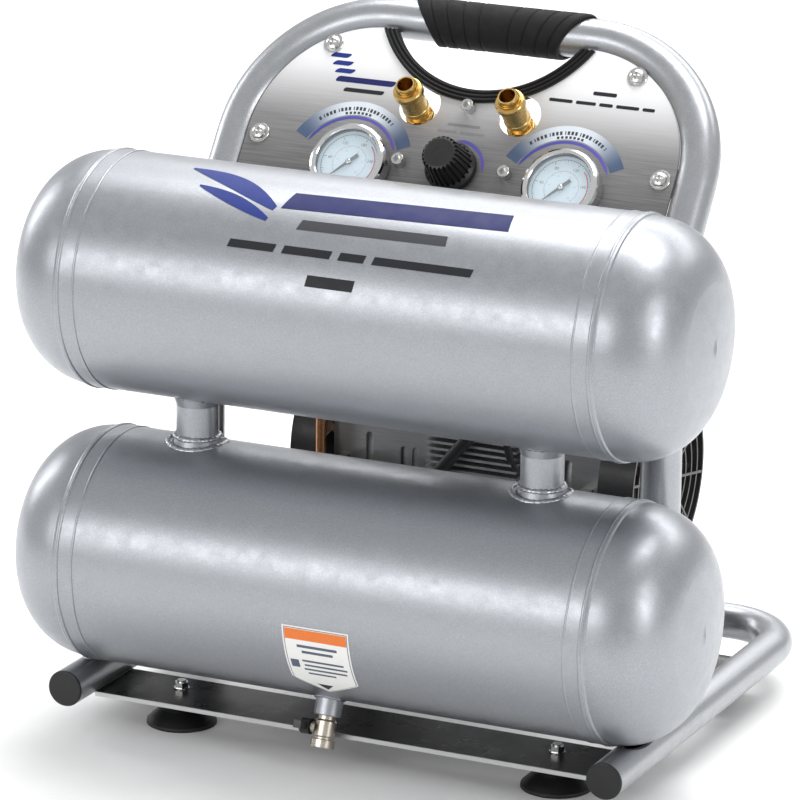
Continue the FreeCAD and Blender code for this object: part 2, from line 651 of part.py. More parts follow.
# screws: four pan heads with washers, three socket caps
fasteners = []
for x, s in PANS:
    head = turned([(0.0, 4.2, -7.5), (4.6, 3.0), (5.2, 1.9), (5.2, 1.2), (2.1, 1.2), (2.1, -7.0), (0.0, -7.0)], (x, s, 0.0))
    cross = [box(6.0, 1.2, 2.0, (x - 3.0, s - 0.6, 2.9)), box(1.2, 6.0, 2.0, (x - 0.6, s - 3.0, 2.9))]
    fasteners.append(cut(head, *cross))
    fasteners.append(turned([(2.2, 0.0), (7.2, 0.0), (7.2, 0.9), (6.9, 1.2), (2.2, 1.2)], (x, s, 0.0)))
for x, s in SOCKETS:
    head = turned([(0.0, 7.2), (4.0, 7.2), (4.4, 6.8), (4.4, 0.0), (2.5, 0.0), (2.5, -9.0), (0.0, -9.0)], (x, s, 0.0))
    fasteners.append(cut(head, hexagon(4.4, 3.2, (x, s, 4.2))))
out("panel_screws", together(*fasteners), "panel")

# ----------------------------------------------- air manifold behind the panel
RL = S["regulator_level"]
back = -S["panel_thick"]
GX, GL, GC = S["gauge_half"], S["gauge_level"], S["gauge_case_radius"]
nipples = []
for s in (-1, 1):
    nipples += [hexagon(12.0, 6.0, (GX * s + GS, GL, -28.0)), cyl(5.5, 12.0, (GX * s + GS, GL, -36.0)),
                cyl(5.0, GX + GS * s - 47.0, (47.0 if s > 0 else GS - GX, GL, -30.5), (1, 0, 0))]
block = fuse(*nipples, box(96.0, 30.0, 34.5, (-48.0, -28.0, -36.0)), box(28.0, 39.4, 20.5, (-14.0, 0.0, -22.0)),
             box(16.0, 34.0, 16.0, (-CX - 8.0, 0.0, -28.0)), box(16.0, 34.0, 16.0, (CX - 8.0, 0.0, -28.0)))
drill = [cyl(2.5, 12.0, (x, s, -9.0)) for x, s in SOCKETS]
drill.append(cyl(4.1, 14.0, (0.0, RL, -13.0)))
out("manifold_block", cut(block, *drill), "panel")

bonnet = turned([(4.05, -1.5), (13.2, -1.5), (13.2, 6.4), (12.2, 7.4), (4.05, 7.4)], (0.0, RL, 0.0))
out("regulator_bonnet", together(bonnet), "panel")
stem = fuse(cyl(4.0, 31.0, (0.0, RL, -12.0)), cyl(6.0, 1.2, (0.0, RL, 7.6)))
out("regulator_stem", stem, "panel")
KR = S["knob_radius"]
knob = turned([(4.05, 28.0), (10.2, 28.0), (12.0, 27.4), (12.9, 25.8), (15.4, 9.0), (KR, 6.5), (KR, 2.0), (13.9, 2.0),
               (13.9, 9.2), (4.05, 9.2)], (0.0, RL, 0.0))
lid = turned([(0.0, 20.0), (4.05, 20.0), (4.05, 27.9), (0.0, 27.9)], (0.0, RL, 0.0))
flutes = []
for k in range(24):
    a = k * math.pi / 12
    flutes.append(cyl(0.9, 40.0, (17.3 * math.cos(a), RL + 17.3 * math.sin(a), -2.0),
                      (-math.cos(a) * 0.185, -math.sin(a) * 0.185, 1.0)))
out("regulator_knob", cut(fuse(knob, lid), *flutes), "panel")

# gauges
cases, bezels, dials, lenses = [], [], [], []
BRAD = S["bezel_radius"]
for s in (-1, 1):
    c = (GX * s + GS, GL, 0.0)
    cases.append(turned([(0.0, -22.0), (GC - 1.5, -22.0), (GC, -20.5), (GC, 8.0), (GC - 1.5, 8.0), (GC - 1.5, -20.5),
                         (0.0, -20.5)], c))
    bezels.append(turned([(GC + 0.1, 0.4), (BRAD - 0.2, 0.4), (BRAD, 1.0), (BRAD, 10.4), (BRAD - 0.9, 12.4),
                          (BRAD - 2.4, 13.4), (22.9, 13.3), (22.3, 12.7), (22.3, 12.3), (23.6, 12.3), (23.6, 10.8),
                          (GC + 0.1, 10.8)], c))
    dials.append(turned([(1.05, 6.4), (GC - 1.55, 6.4), (GC - 1.55, 7.0), (1.05, 7.0)], c))
    lenses.append(turned([(0.0, 11.0), (23.5, 11.0), (23.5, 12.2), (0.0, 12.2)], c))
out("gauge_cases", together(*cases), "panel")
out("gauge_bezels", together(*bezels), "panel")
out("gauge_dials", together(*dials), "panel")
out("gauge_lenses", together(*lenses), "panel")
for s, label in ((-1, "tank_gauge_needle"), (1, "line_gauge_needle")):
    # pointer rests at the low end of the scale, lower left
    a = math.radians(225.0)
    ux, uy = math.cos(a), math.sin(a)
    px, py = -uy, ux
    tip, tail = 18.4, 8.0
    cx, cy = float(GX) * s + float(GS), float(GL)
    pts = [(cx + ux * tip, cy + uy * tip), (cx + px * 1.15, cy + py * 1.15), (cx - ux * tail + px * 1.3, cy - uy * tail + py * 1.3),
           (cx - ux * tail - px * 1.3, cy - uy * tail - py * 1.3), (cx - px * 1.15, cy - py * 1.15)]
    pts.reverse()
    blade = plate(pts, 0.5, (0.0, 0.0, 8.4))
    out(label, fuse(blade, cyl(2.1, 1.2, (GX * s + GS, GL, 8.1)), cyl(0.95, 6.4, (GX * s + GS, GL, 2.0))), "panel")

# quick couplers: fixed body and the sleeve that pulls back
tilt = math.radians(float(S["coupler_tilt"]))
cdir = (0.0, math.sin(tilt), math.cos(tilt))
CLN, CB = S["coupler_length"], S["coupler_bore"]
bodies = []
for s in (-1, 1):
    root = (CX * s, S["coupler_level"], -12.0)
    body_pts = [(0.0, -3.0), (9.9, -3.0), (9.9, 6.2), (9.2, 7.0), (8.7, 7.2), (8.7, 9.4), (7.1, 9.4), (7.1, CLN - 1.0),
                (6.6, CLN), (CB, CLN), (CB, 14.0), (0.0, 12.0)]
    solid = turned(body_pts, root, cdir)
    notch = box(18.0, 34.5, 16.0, (CX * s - 9.0, 0.0, -28.0))
    bodies.append(cut(solid, notch))
    sl = turned([(7.35, 14.0), (8.9, 14.0), (9.2, 14.6), (9.2, 17.2), (8.8, 17.7), (8.8, 29.6), (9.3, 30.6), (10.0, 31.2),
                 (10.3, 31.8), (10.3, 35.6), (9.7, 36.4), (8.3, 36.8), (8.3, 38.6), (7.35, 38.6)], root, cdir)
    out("coupler_sleeve_left" if s < 0 else "coupler_sleeve_right", together(sl), "panel")
out("coupler_bodies", together(*bodies), "panel")

# pressure switch on the back of the manifold
sw = cut(box(58.0, 46.0, 40.0, (-29.0, -46.0, -88.0)), box(53.0, 41.0, 37.5, (-26.5, -43.5, -88.0)))
foot_ = cyl(9.0, 12.0, (0.0, -14.0, -48.0))
out("pressure_switch_base", fuse(sw, foot_), "panel")
cover = cut(box(58.0, 46.0, 20.0, (-29.0, -46.0, -108.0)), box(54.0, 42.0, 18.0, (-27.0, -44.0, -106.0)),
            box(12.0, 12.0, 8.0, (-6.0, -29.0, -110.0)))
out("pressure_switch_cover", cover, "panel")
out("pressure_switch_button", fuse(box(11.0, 11.0, 8.0, (-5.5, -28.5, -113.0)), box(15.0, 15.0, 2.0, (-7.5, -30.5, -105.6))),
    "panel")
gland = turned([(3.6, 0.0), (8.5, 0.0), (8.5, 5.0), (7.6, 5.6), (6.6, 16.0), (5.6, 17.0), (3.6, 17.0)], (16.0, -46.0, -70.0),
               (0, -1, 0))
out("cord_gland", together(gland), "panel")

# safety valve with its pull ring, on the back of the manifold
rv = cut(fuse(hexagon(13.0, 6.0, (-38.5, -14.0, -36.0), (0, 0, -1)), cyl(5.6, 16.0, (-38.5, -14.0, -42.0), (0, 0, -1))),
         cyl(1.6, 30.0, (-38.5, -14.0, -44.0), (0, 0, -1)))
out("relief_valve_body", rv, "panel")
ring_ = fuse(cyl(1.5, 18.5, (-38.5, -14.0, -45.0), (0, 0, -1)), torus(6.4, 1.0, (-38.5, -14.0, -69.4), (1, 0, 0)),
             cyl(3.2, 2.2, (-38.5, -14.0, -61.4), (0, 0, -1)))
out("relief_valve_ring", ring_, "panel")

# tube from the upper tank to the manifold
fit = turned([(3.0, -0.8), (9.0, -0.8), (9.0, 4.0), (6.6, 5.0), (6.6, 11.5), (3.0, 11.5)], (-24.0, UPB + R, HIGH), (0, 1, 0))
m_in = panel_point(-24.0, -28.0, -30.0)
feed_y = m_in.y
doc.recompute()
feed_run = (m_in.z - float(HIGH)) / cos_l
feed_pts = [V(-24.0, float(UPB + R) + 11.5, float(HIGH)), V(-24.0, m_in.y - feed_run * sin_l, float(HIGH)), m_in]
out("tank_feed_tube", fixed(tube_shape(feed_pts, [22.0], 4.0, 3.0)))

# --------------------------------------------------------------- drain valve
vo = V(float(DX), 92.0 * ddir[1], float(LOW) + 92.0 * ddir[2])
vb = turned([(DB, 0.0), (6.2, 0.0), (6.2, 2.4), (7.3, 3.6), (7.3, 13.4), (6.6, 14.4), (6.6, 15.4), (8.0, 16.0), (8.0, 21.0),
             (7.5, 21.5), (DB, 21.5)], tuple(vo), ddir)
vc = vo + V(*ddir) * 8.5
neck = cyl(3.6, 9.4, tuple(vc), (-1, 0, 0))
out("drain_valve_body", cut(fuse(vb, neck), ball(5.4, tuple(vc)), cyl(2.1, 12.0, tuple(vc), (-1, 0, 0))))
across = V(0, math.cos(da), -math.sin(da))
bore = cyl(DB, 16.0, tuple(vc - across * 8.0), tuple(across))
out("drain_valve_ball", cut(fuse(ball(5.3, tuple(vc)), cyl(2.0, 10.0, tuple(vc), (-1, 0, 0))), bore))
hub_at = vc + V(-10.0, 0, 0)
hub = turned([(0.0, 0.0), (5.4, 0.0), (5.4, 6.4), (4.8, 7.2), (0.0, 7.2)], tuple(hub_at), (-1, 0, 0))
wing_rot = Rotation(V(1, 0, 0), -math.degrees(da))
wing_corner = hub_at + wing_rot.multVec(V(-6.4, -15.0, -2.6))
lever = box(5.2, 15.0, 5.2, tuple(wing_corner), wing_rot)
lever_screw = turned([(0.0, 7.2), (2.6, 7.2), (2.6, 8.2), (2.0, 8.8), (0.0, 8.8)], tuple(hub_at), (-1, 0, 0))
slot = box(4.0, 0.8, 6.0, tuple(hub_at + V(-9.2 - 3.0, -0.4, -3.0)))
out("drain_valve_handle", together(fuse(hub, lever), cut(lever_screw, slot)))

# ---------------------------------------------------------------------- pump
PY, PZ = S["pump_back"], S["pump_height"]
MF, MRR, ML, MR = S["motor_front"], S["motor_rear"], S["motor_left"], S["motor_right"]
SY = 165.0
core = box(MR * 2.0, 98.5, 101.0, (-MR, PY - 47.5, PZ - 49.0))
fins = []
for k in range(18):
    z = 112.6 + 4.7 * k
    fins.append(box(68.0, PY - 47.0 - MF, 1.8, (-26.0, MF, z)))
for k in range(21):
    z = 99.6 + 4.7 * k
    if z > 140.0:
        fins.append(box(92.0, 6.0, 1.8, (-46.0, PY + 51.0, z)))
bossr = box(26.0, 8.0, 26.0, (-13.0, PY + 51.0, 110.0))
block = fuse(core, bossr, *fins)
out("motor_housing", cut(block, cyl(44.5, 120.0, (-60.0, PY, PZ), (1, 0, 0)), cyl(4.2, 7.0, (0.0, PY + 53.0, 123.0), (0, 1, 0))))
out("motor_stator", cut(cyl(44.4, 60.0, (-30.0, PY, PZ), (1, 0, 0)), cyl(S["stator_bore"], 62.0, (-31.0, PY, PZ), (1, 0, 0))))
SR = S["shaft_radius"]
shaft = fuse(cyl(SR, 250.0, (-125.0, PY, PZ), (1, 0, 0)), cyl(S["rotor_radius"], 56.0, (-28.0, PY, PZ), (1, 0, 0)),
             cyl(13.0, 13.0, (68.5, PY, PZ + S["crank_throw"]), (1, 0, 0)),
             cyl(13.0, 13.0, (-81.5, PY, PZ - S["crank_throw"]), (1, 0, 0)))
out("rotor_shaft", shaft)
rings = [cut(cyl(16.0, 6.0, (x, PY, PZ), (1, 0, 0)), cyl(SR + 0.05, 8.0, (x - 1.0, PY, PZ), (1, 0, 0))) for x in (48.0, -54.0)]
out("shaft_bearings", together(*rings))

cases_, covers, cyls, heads, filters = [], [], [], [], []
for s in (-1, 1):
    x0 = 48.0 if s > 0 else -98.0
    drum = fuse(cyl(46.0, 50.0, (x0, PY, PZ), (1, 0, 0)), box(50.0, 60.0, 22.0, (x0, PY - 30.0, PZ + 30.0)),
                box(30.0, 60.0, 16.0, (75.0 * s - 15.0, PY - 30.0, 92.0)),
                cyl(4.5, 12.0, (75.0 * s - 15.0, SY, PZ + 12.0), (0, 1, 0)), cyl(4.5, 12.0, (75.0 * s + 15.0, SY, PZ + 12.0), (0, 1, 0)))
    hollow = cyl(40.0, 44.0, (54.0 if s > 0 else -98.0, PY, PZ), (1, 0, 0))
    cases_.append(cut(drum, hollow, cyl(16.0, 10.0, (46.0 if s > 0 else -56.0, PY, PZ), (1, 0, 0)),
                      cyl(24.9, 60.0, (75.0 * s - 2.0 * s, PY, PZ + 20.0))))
    cov = cut(cyl(46.0, 3.0, (98.0 if s > 0 else -101.0, PY, PZ), (1, 0, 0)), cyl(8.6, 8.0, (96.0 if s > 0 else -103.0, PY, PZ), (1, 0, 0)))
    covers.append(cov)
    cx = 73.0 * s
    barrel = fuse(cyl(24.8, 56.0, (cx, PY, 187.0)), *[cyl(34.0, 1.8, (cx, PY, 203.0 + 6.4 * k)) for k in range(6)])
    cyls.append(cut(barrel, cyl(S["cylinder_bore"], 70.0, (cx, PY, 180.0)),
                    cyl(S["guard_radius"] + 0.8, 40.0, (102.4 if s > 0 else -142.4, PY, PZ), (1, 0, 0))))
    hb = fuse(box(68.0, 72.0, 13.0, (cx - 34.0, PY - 36.0, 243.0)),
              *[box(64.0, 1.8, 10.0, (cx - 32.0, PY - 34.0 + 6.2 * k, 256.0)) for k in range(7)])
    heads.append(cut(hb, cyl(4.5, 8.0, (-88.0, PY - 40.0, 249.5), (0, 1, 0))) if s < 0 else hb)
    filters.append(turned([(0.0, 256.0), (12.0, 256.0), (13.0, 257.0), (13.0, 271.0), (11.5, 274.0), (0.0, 275.0)], (cx, PY + 21.0, 0.0)))
out("crankcases", together(*(cases_ + covers)))
out("pump_cylinders", together(*cyls))
out("cylinder_heads", together(*(heads + filters)))
PR = S["piston_radius"]
for s, label in ((-1, "piston_rod_left"), (1, "piston_rod_right")):
    cx = 73.0 * s
    down_ = S["crank_throw"] * (0.0 if s > 0 else 2.0)
    piston = fuse(cyl(PR, 12.0, (cx, PY, 228.0 - down_)), box(10.0, 16.0, 36.0, (cx - 5.0, PY - 8.0, 193.0 - down_)))
    out(label, piston)

# cooling fans on the shaft ends, inside their wire guards
FRD, GRD, GF = S["fan_radius"], S["guard_radius"], S["guard_face"]
fans, guards = [], []
for s in (-1, 1):
    x0 = 107.0 * s
    hubf = cut(cyl(15.0, 18.5, (x0, PY, PZ), (s, 0, 0)), cyl(SR, 18.0, (x0 - 0.01 * s, PY, PZ), (s, 0, 0)))
    blades = []
    for k in range(7):
        spin = Rotation(V(1, 0, 0), k * 360.0 / 7)
        rot = spin.multiply(Rotation(V(0, 0, 1), 38.0))
        corner = V(115.5 * s, float(PY), float(PZ)) + rot.multVec(V(-1.0, -10.0, 14.0))
        blades.append(box(2.0, 20.0, FRD - 14.5, tuple(corner), rot))
    fans.append(fuse(hubf, *blades))
    g0 = 103.0 if s > 0 else -GF
    shell = cut(cyl(GRD, GF - 103.0, (g0, PY, PZ), (1, 0, 0)), cyl(GRD - 2.0, 40.0, (95.0 if s > 0 else -135.0, PY, PZ), (1, 0, 0)))
    face = GF * s - 1.0 * s
    parts_ = [shell, cyl(12.0, 1.8, (face - 0.9, PY, PZ), (1, 0, 0))]
    for r in (22.0, 32.5, 43.0, 53.5):
        parts_.append(cut(cyl(r + 0.9, 1.4, (face - 0.7, PY, PZ), (1, 0, 0)), cyl(r - 0.9, 4.0, (face - 2.0, PY, PZ), (1, 0, 0))))
    for k in range(10):
        rot = Rotation(V(1, 0, 0), k * 36.0 + 8.0)
        corner = V(float(face) - 0.9, float(PY), float(PZ)) + rot.multVec(V(0, -0.9, 10.0))
        parts_.append(box(1.8, 1.8, 53.4, tuple(corner), rot))
    for k in range(4):
        rot = Rotation(V(1, 0, 0), k * 90.0 + 45.0)
        corner = V(101.0 if s > 0 else -103.2, float(PY), float(PZ)) + rot.multVec(V(0, -5.0, 38.0))
        parts_.append(box(2.2, 10.0, 25.5, tuple(corner), rot))
    guards.append(fuse(*parts_))
out("cooling_fans", together(*fans))
out("fan_guards", together(*guards))

# slotted sheet in front of the crankcases, and the flat rail ahead of it
sheet_pts = [(-100.0, 106.0), (100.0, 106.0), (109.0, 130.0), (125.0, 165.0), (125.0, 201.0), (-125.0, 201.0),
             (-125.0, 165.0), (-109.0, 130.0)]
blank = plate(sheet_pts, 1.5, (0.0, SY, 0.0), rot=Rotation(V(1, 0, 0), 90))
wins = [box(75.4, 10.0, 88.0, (-27.7, SY - 5.0, 111.0))]


def slot_tool(x, z0, z1, w):
    return fuse(box(w, 10.0, z1 - z0, (x - w / 2, SY - 5.0, z0)), cyl(w / 2, 10.0, (x, SY - 5.0, z0), (0, 1, 0)),
                cyl(w / 2, 10.0, (x, SY - 5.0, z1), (0, 1, 0)))


for x, z0, z1 in ((-74.8, 120.0, 163.4), (74.8, 120.0, 163.4), (-48.4, 124.0, 156.4), (-39.6, 124.0, 156.4), (56.4, 124.0, 156.4)):
    wins.append(slot_tool(x, z0, z1, 5.6))
wins += [cyl(GRD + 0.8, 40.0, (x, PY, PZ), (1, 0, 0)) for x in (102.2, -142.2)]
out("pump_side_plate", cut(blank, *wins))
rail = fuse(box(212.0, 3.4, 8.0, (-116.0, 144.4, 140.0)),
            box(8.0, SY - 1.5 - 147.8, 8.0, (-98.0, 147.8, 140.0)), box(8.0, SY - 1.5 - 147.8, 8.0, (86.0, 147.8, 140.0)))
out("pump_tie_rail", rail)

# carrier on the rear foot plate, with rubber mounts
top = PB + PT
legs = []
for s in (-1, 1):
    legs.append(box(3.0, 50.0, 51.0, (97.0 if s > 0 else -100.0, 186.0, top)))
    legs.append(box(20.0, 50.0, 3.0, (80.0 if s > 0 else -100.0, 186.0, top)))
carrier = fuse(box(200.0, 64.0, 3.0, (-100.0, PY - 32.0, top + 51.0)), *legs)
out("pump_carrier", carrier)
mounts = [turned([(0.0, 71.5), (8.0, 71.5), (10.0, 74.0), (8.4, 81.7), (10.0, 89.5), (8.0, 92.0), (0.0, 92.0)],
                 (75.0 * s, PY + dy, 0.0)) for s in (-1, 1) for dy in (-20.0, 20.0)]
out("pump_rubber_mounts", together(*mounts))

out("run_capacitor", together(turned([(0.0, 0.0), (14.0, 0.0), (15.0, 1.0), (15.0, 58.0), (14.0, 60.0), (0.0, 60.0)],
                                     (-30.0, PY + 12.0, PZ + 52.0 + 15.0), (1, 0, 0))))
out("thermal_reset_button", fuse(cyl(3.9, 9.0, (0.0, PY + 55.5, 123.0), (0, 1, 0)), cyl(3.0, 1.0, (0.0, PY + 64.5, 123.0), (0, 1, 0))))

# air and electric lines
crossover = cut(cyl(4.0, 78.0, (-39.0, 205.0, 249.5), (1, 0, 0)), cyl(3.0, 80.0, (-40.0, 205.0, 249.5), (1, 0, 0)))
out("discharge_tubes", together(crossover, fixed(tube_shape([V(-88, 177, 249.5), V(-101, 140, 249.5), V(-101, 140, 116), V(-101, 104, 116)],
                                       [15.0, 16.0], 3.6, 2.7))))
cv = turned([(2.7, -0.6), (9.0, -0.6), (9.0, 6.0), (7.6, 7.0), (7.6, 17.0), (6.2, 18.0), (6.2, 24.0), (3.65, 24.0), (3.65, 20.0),
             (2.7, 20.0)], (-101.0, R, LOW), (0, 1, 0))
out("tank_fittings", together(cut(cv, cyl(R, 40.0, (-121.0, 0.0, LOW), (1, 0, 0))),
                              cut(fit, cyl(R, 40.0, (-44.0, UPB, HIGH), (1, 0, 0)))))
down = V(0, -sin_l, -cos_l)
g_end = panel_point(16.0, -63.0, -70.0)
lead = tube_shape([V(-36, 163.4, 122), V(-36, 139, 122), V(34, 139, 208), g_end + down * 26.0, g_end], [10.5, 46.0, 26.0], 4.4)
wires = [lead]
for dx in (0.0, 4.4):
    w_end = panel_point(21.0 + dx, -46.0, -80.0)
    wires.append(tube_shape([V(56 - dx, 162.2, 168 + dx), V(46 - dx, 141, 158 + dx), V(31 + dx * 0.2, 141, 205), w_end + down * 30.0, w_end],
                            [6.0, 30.0, 20.0], 1.7))
out("wire_harness", fixed(Part.makeCompound(wires)))

# ------------------------------------------------------------- check and write
doc.recompute()
bad = []
for obj in doc.Objects:
    state = [str(x) for x in obj.State]
    if "Invalid" in state or "Error" in state:
        bad.append("%s (%s) %s" % (obj.Name, obj.Label, state))
for label, obj in PARTS:
    shape = obj.Shape
    if shape.isNull() or not shape.isValid() or not shape.Solids:
        bad.append("%s has no valid shape" % label)
if bad:
    raise RuntimeError("; ".join(bad))
if len({label for label, _o in PARTS}) != len(PARTS) or len(PARTS) > 60:
    raise RuntimeError("%d parts" % len(PARTS))
os.makedirs("parts", exist_ok=True)
for old in os.listdir("parts"):
    if old.endswith(".step"):
        os.remove(os.path.join("parts", old))
low, high = [1e9] * 3, [-1e9] * 3
for label, obj in PARTS:
    obj.Shape.exportStep(os.path.join("parts", label + ".step"))
    bb = obj.Shape.BoundBox
    low = [min(a, b) for a, b in zip(low, (bb.XMin, bb.YMin, bb.ZMin))]
    high = [max(a, b) for a, b in zip(high, (bb.XMax, bb.YMax, bb.ZMax))]
    print("%-24s solids %2d volume %10.0f  x %7.1f %7.1f y %7.1f %7.1f z %7.1f %7.1f" % (
        label, len(obj.Shape.Solids), obj.Shape.Volume, bb.XMin, bb.XMax, bb.YMin, bb.YMax, bb.ZMin, bb.ZMax))
print("%d parts, box %s to %s" % (len(PARTS), [round(v, 2) for v in low], [round(v, 2) for v in high]))
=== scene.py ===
import math
import random

import bmesh
import bpy
from mathutils import Matrix, Vector, noise


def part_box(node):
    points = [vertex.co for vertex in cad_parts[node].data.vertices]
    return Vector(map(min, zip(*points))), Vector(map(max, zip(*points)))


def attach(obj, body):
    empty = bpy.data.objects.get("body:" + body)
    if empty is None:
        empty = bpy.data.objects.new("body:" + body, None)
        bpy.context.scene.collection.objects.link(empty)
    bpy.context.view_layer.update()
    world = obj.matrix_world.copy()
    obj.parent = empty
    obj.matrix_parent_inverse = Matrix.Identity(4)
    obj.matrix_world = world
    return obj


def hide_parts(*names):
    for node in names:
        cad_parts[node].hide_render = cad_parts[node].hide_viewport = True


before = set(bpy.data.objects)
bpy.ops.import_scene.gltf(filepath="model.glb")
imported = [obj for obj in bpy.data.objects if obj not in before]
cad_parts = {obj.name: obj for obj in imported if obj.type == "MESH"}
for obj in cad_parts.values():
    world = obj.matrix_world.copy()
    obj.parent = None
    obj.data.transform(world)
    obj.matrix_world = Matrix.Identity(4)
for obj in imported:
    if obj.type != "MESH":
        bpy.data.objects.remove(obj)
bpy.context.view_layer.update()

MM = 0.001
Y0 = 108.6            # rear shift of the row frame behind the lower tank axis, mm
R = 80.0              # tank radius
LOW = (0.0, 116.0)    # lower tank axis (y, z) in tank millimetres
UPP = (4.0, 306.2)    # upper tank axis
ROOT = "frame"

_lo, _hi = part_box("lower_tank_heads")
LIFT = (_lo.z + _hi.z) / 2 / MM - LOW[1]      # height of the tank millimetres' datum above the floor

UPV = Vector((0.0, 0.59061, 0.80696))      # up the panel
NRM = Vector((0.0, -0.80696, 0.59061))     # out of the panel


def P(x, s, d=0.0):
    """A point of the panel frame (mm) in the row frame (m)."""
    return Vector((x, 28.2 + 0.59061 * s - 0.80696 * d, 376.0 + LIFT + 0.80696 * s + 0.59061 * d)) * MM


def W(x, y, z):
    """A point in tank millimetres in the row frame (m)."""
    return Vector((x, y - Y0, z + LIFT)) * MM


# ------------------------------------------------------------------ materials
class Paint:
    """One Principled material with fine grain, slow patches, varied roughness and bump."""

    def __init__(self, name, base, metallic=0.0, rough=0.5, tint=0.10, grain=1500.0, detail=3.0, stretch=(1, 1, 1),
                 patch=0.06, patch_scale=9.0, rough_var=0.06, bump=0.10, bump_scale=1200.0, bump_dist=0.0002,
                 coat=0.0, coat_rough=0.12, spec=0.5, alpha=1.0, second_bump=None):
        m = bpy.data.materials.new(name)
        m.use_nodes = True
        self.m, self.t = m, m.node_tree
        self.n, self.l = self.t.nodes, self.t.links
        self.b = next(n for n in self.n if n.type == "BSDF_PRINCIPLED")
        self.co = self.n.new("ShaderNodeTexCoord").outputs["Object"]
        mp = self.n.new("ShaderNodeMapping")
        mp.inputs["Scale"].default_value = stretch
        self.l.new(self.co, mp.inputs["Vector"])
        self.v = mp.outputs["Vector"]
        fine = self.noise(grain, detail, self.v)
        lo = [c * (1 - tint) for c in base] + [1]
        hi = [min(1.0, c * (1 + tint)) for c in base] + [1]
        col = self.mix(self.rng(fine, 0.32, 0.68, 0, 1), lo, hi)
        if patch:
            slow = self.noise(patch_scale, 4.0, self.co)
            dark = [c * (1 - patch * 2) for c in base] + [1]
            col = self.mix(self.rng(slow, 0.42, 0.74, 0, patch * 6 if patch < 0.16 else 0.9), col, dark)
        self.color = col
        slow2 = self.noise(grain * 0.05 + 12.0, 3.0, self.v)
        self.rough = self.rng(slow2, 0.3, 0.7, max(0.02, rough - rough_var), min(1.0, rough + rough_var))
        self.metal = metallic
        self.b.inputs["Metallic"].default_value = metallic
        self.b.inputs["Specular IOR Level"].default_value = spec
        self.b.inputs["Coat Weight"].default_value = coat
        self.b.inputs["Coat Roughness"].default_value = coat_rough
        self.b.inputs["Alpha"].default_value = alpha
        if bump:
            h = self.noise(bump_scale, 3.0, self.v)
            bp = self.n.new("ShaderNodeBump")
            bp.inputs["Strength"].default_value = bump
            bp.inputs["Distance"].default_value = bump_dist
            self.l.new(h, bp.inputs["Height"])
            out = bp.outputs["Normal"]
            if second_bump:
                sc, st, ds = second_bump
                h2 = self.noise(sc, 2.0, self.co)
                b2 = self.n.new("ShaderNodeBump")
                b2.inputs["Strength"].default_value = st
                b2.inputs["Distance"].default_value = ds
                self.l.new(h2, b2.inputs["Height"])
                self.l.new(out, b2.inputs["Normal"])
                out = b2.outputs["Normal"]
            self.l.new(out, self.b.inputs["Normal"])

    def noise(self, scale, detail, vec):
        n = self.n.new("ShaderNodeTexNoise")
        n.inputs["Scale"].default_value = scale
        n.inputs["Detail"].default_value = detail
        n.inputs["Roughness"].default_value = 0.55
        self.l.new(vec, n.inputs["Vector"])
        return n.outputs["Fac"]

    def rng(self, src, a, b, c, d, smooth=False):
        n = self.n.new("ShaderNodeMapRange")
        n.inputs["From Min"].default_value = a
        n.inputs["From Max"].default_value = b
        n.inputs["To Min"].default_value = c
        n.inputs["To Max"].default_value = d
        if smooth:
            n.interpolation_type = "SMOOTHSTEP"
        self.l.new(src, n.inputs["Value"])
        return n.outputs["Result"]

    def mix(self, fac, a, b, kind="MIX"):
        n = self.n.new("ShaderNodeMix")
        n.data_type = "RGBA"
        n.blend_type = kind
        self.put(fac, n.inputs[0])
        self.put(a, n.inputs[6])
        self.put(b, n.inputs[7])
        return n.outputs[2]

    def mixf(self, fac, a, b):
        n = self.n.new("ShaderNodeMix")
        n.data_type = "FLOAT"
        self.put(fac, n.inputs[0])
        self.put(a, n.inputs[2])
        self.put(b, n.inputs[3])
        return n.outputs[0]

    def put(self, v, sock):
        if isinstance(v, bpy.types.NodeSocket):
            self.l.new(v, sock)
        else:
            if isinstance(v, (list, tuple)) and len(v) == 3:
                v = list(v) + [1.0]
            sock.default_value = v

    def dot(self, vec):
        n = self.n.new("ShaderNodeVectorMath")
        n.operation = "DOT_PRODUCT"
        self.l.new(self.co, n.inputs[0])
        n.inputs[1].default_value = vec
        return n.outputs["Value"]

    def math(self, op, a, b=0.0):
        n = self.n.new("ShaderNodeMath")
        n.operation = op
        self.put(a, n.inputs[0])
        self.put(b, n.inputs[1])
        return n.outputs[0]

    def near_line(self, point, axis):
        """Distance of a surface point from a line."""
        s = self.n.new("ShaderNodeVectorMath")
        s.operation = "SUBTRACT"
        self.l.new(self.co, s.inputs[0])
        s.inputs[1].default_value = point
        c = self.n.new("ShaderNodeVectorMath")
        c.operation = "CROSS_PRODUCT"
        self.l.new(s.outputs[0], c.inputs[0])
        c.inputs[1].default_value = axis
        ln = self.n.new("ShaderNodeVectorMath")
        ln.operation = "LENGTH"
        self.l.new(c.outputs[0], ln.inputs[0])
        return ln.outputs["Value"]

    def over(self, mask, color, metallic=None, rough=None):
        """Another finish where mask is 1."""
        self.color = self.mix(mask, self.color, color)
        if metallic is not None:
            self.metal = self.mixf(mask, self.metal, metallic)
        if rough is not None:
            self.rough = self.mixf(mask, self.rough, rough)
        return self

    def done(self):
        self.l.new(self.color, self.b.inputs["Base Color"])
        self.l.new(self.rough, self.b.inputs["Roughness"])
        if isinstance(self.metal, bpy.types.NodeSocket):
            self.l.new(self.metal, self.b.inputs["Metallic"])
        return self.m


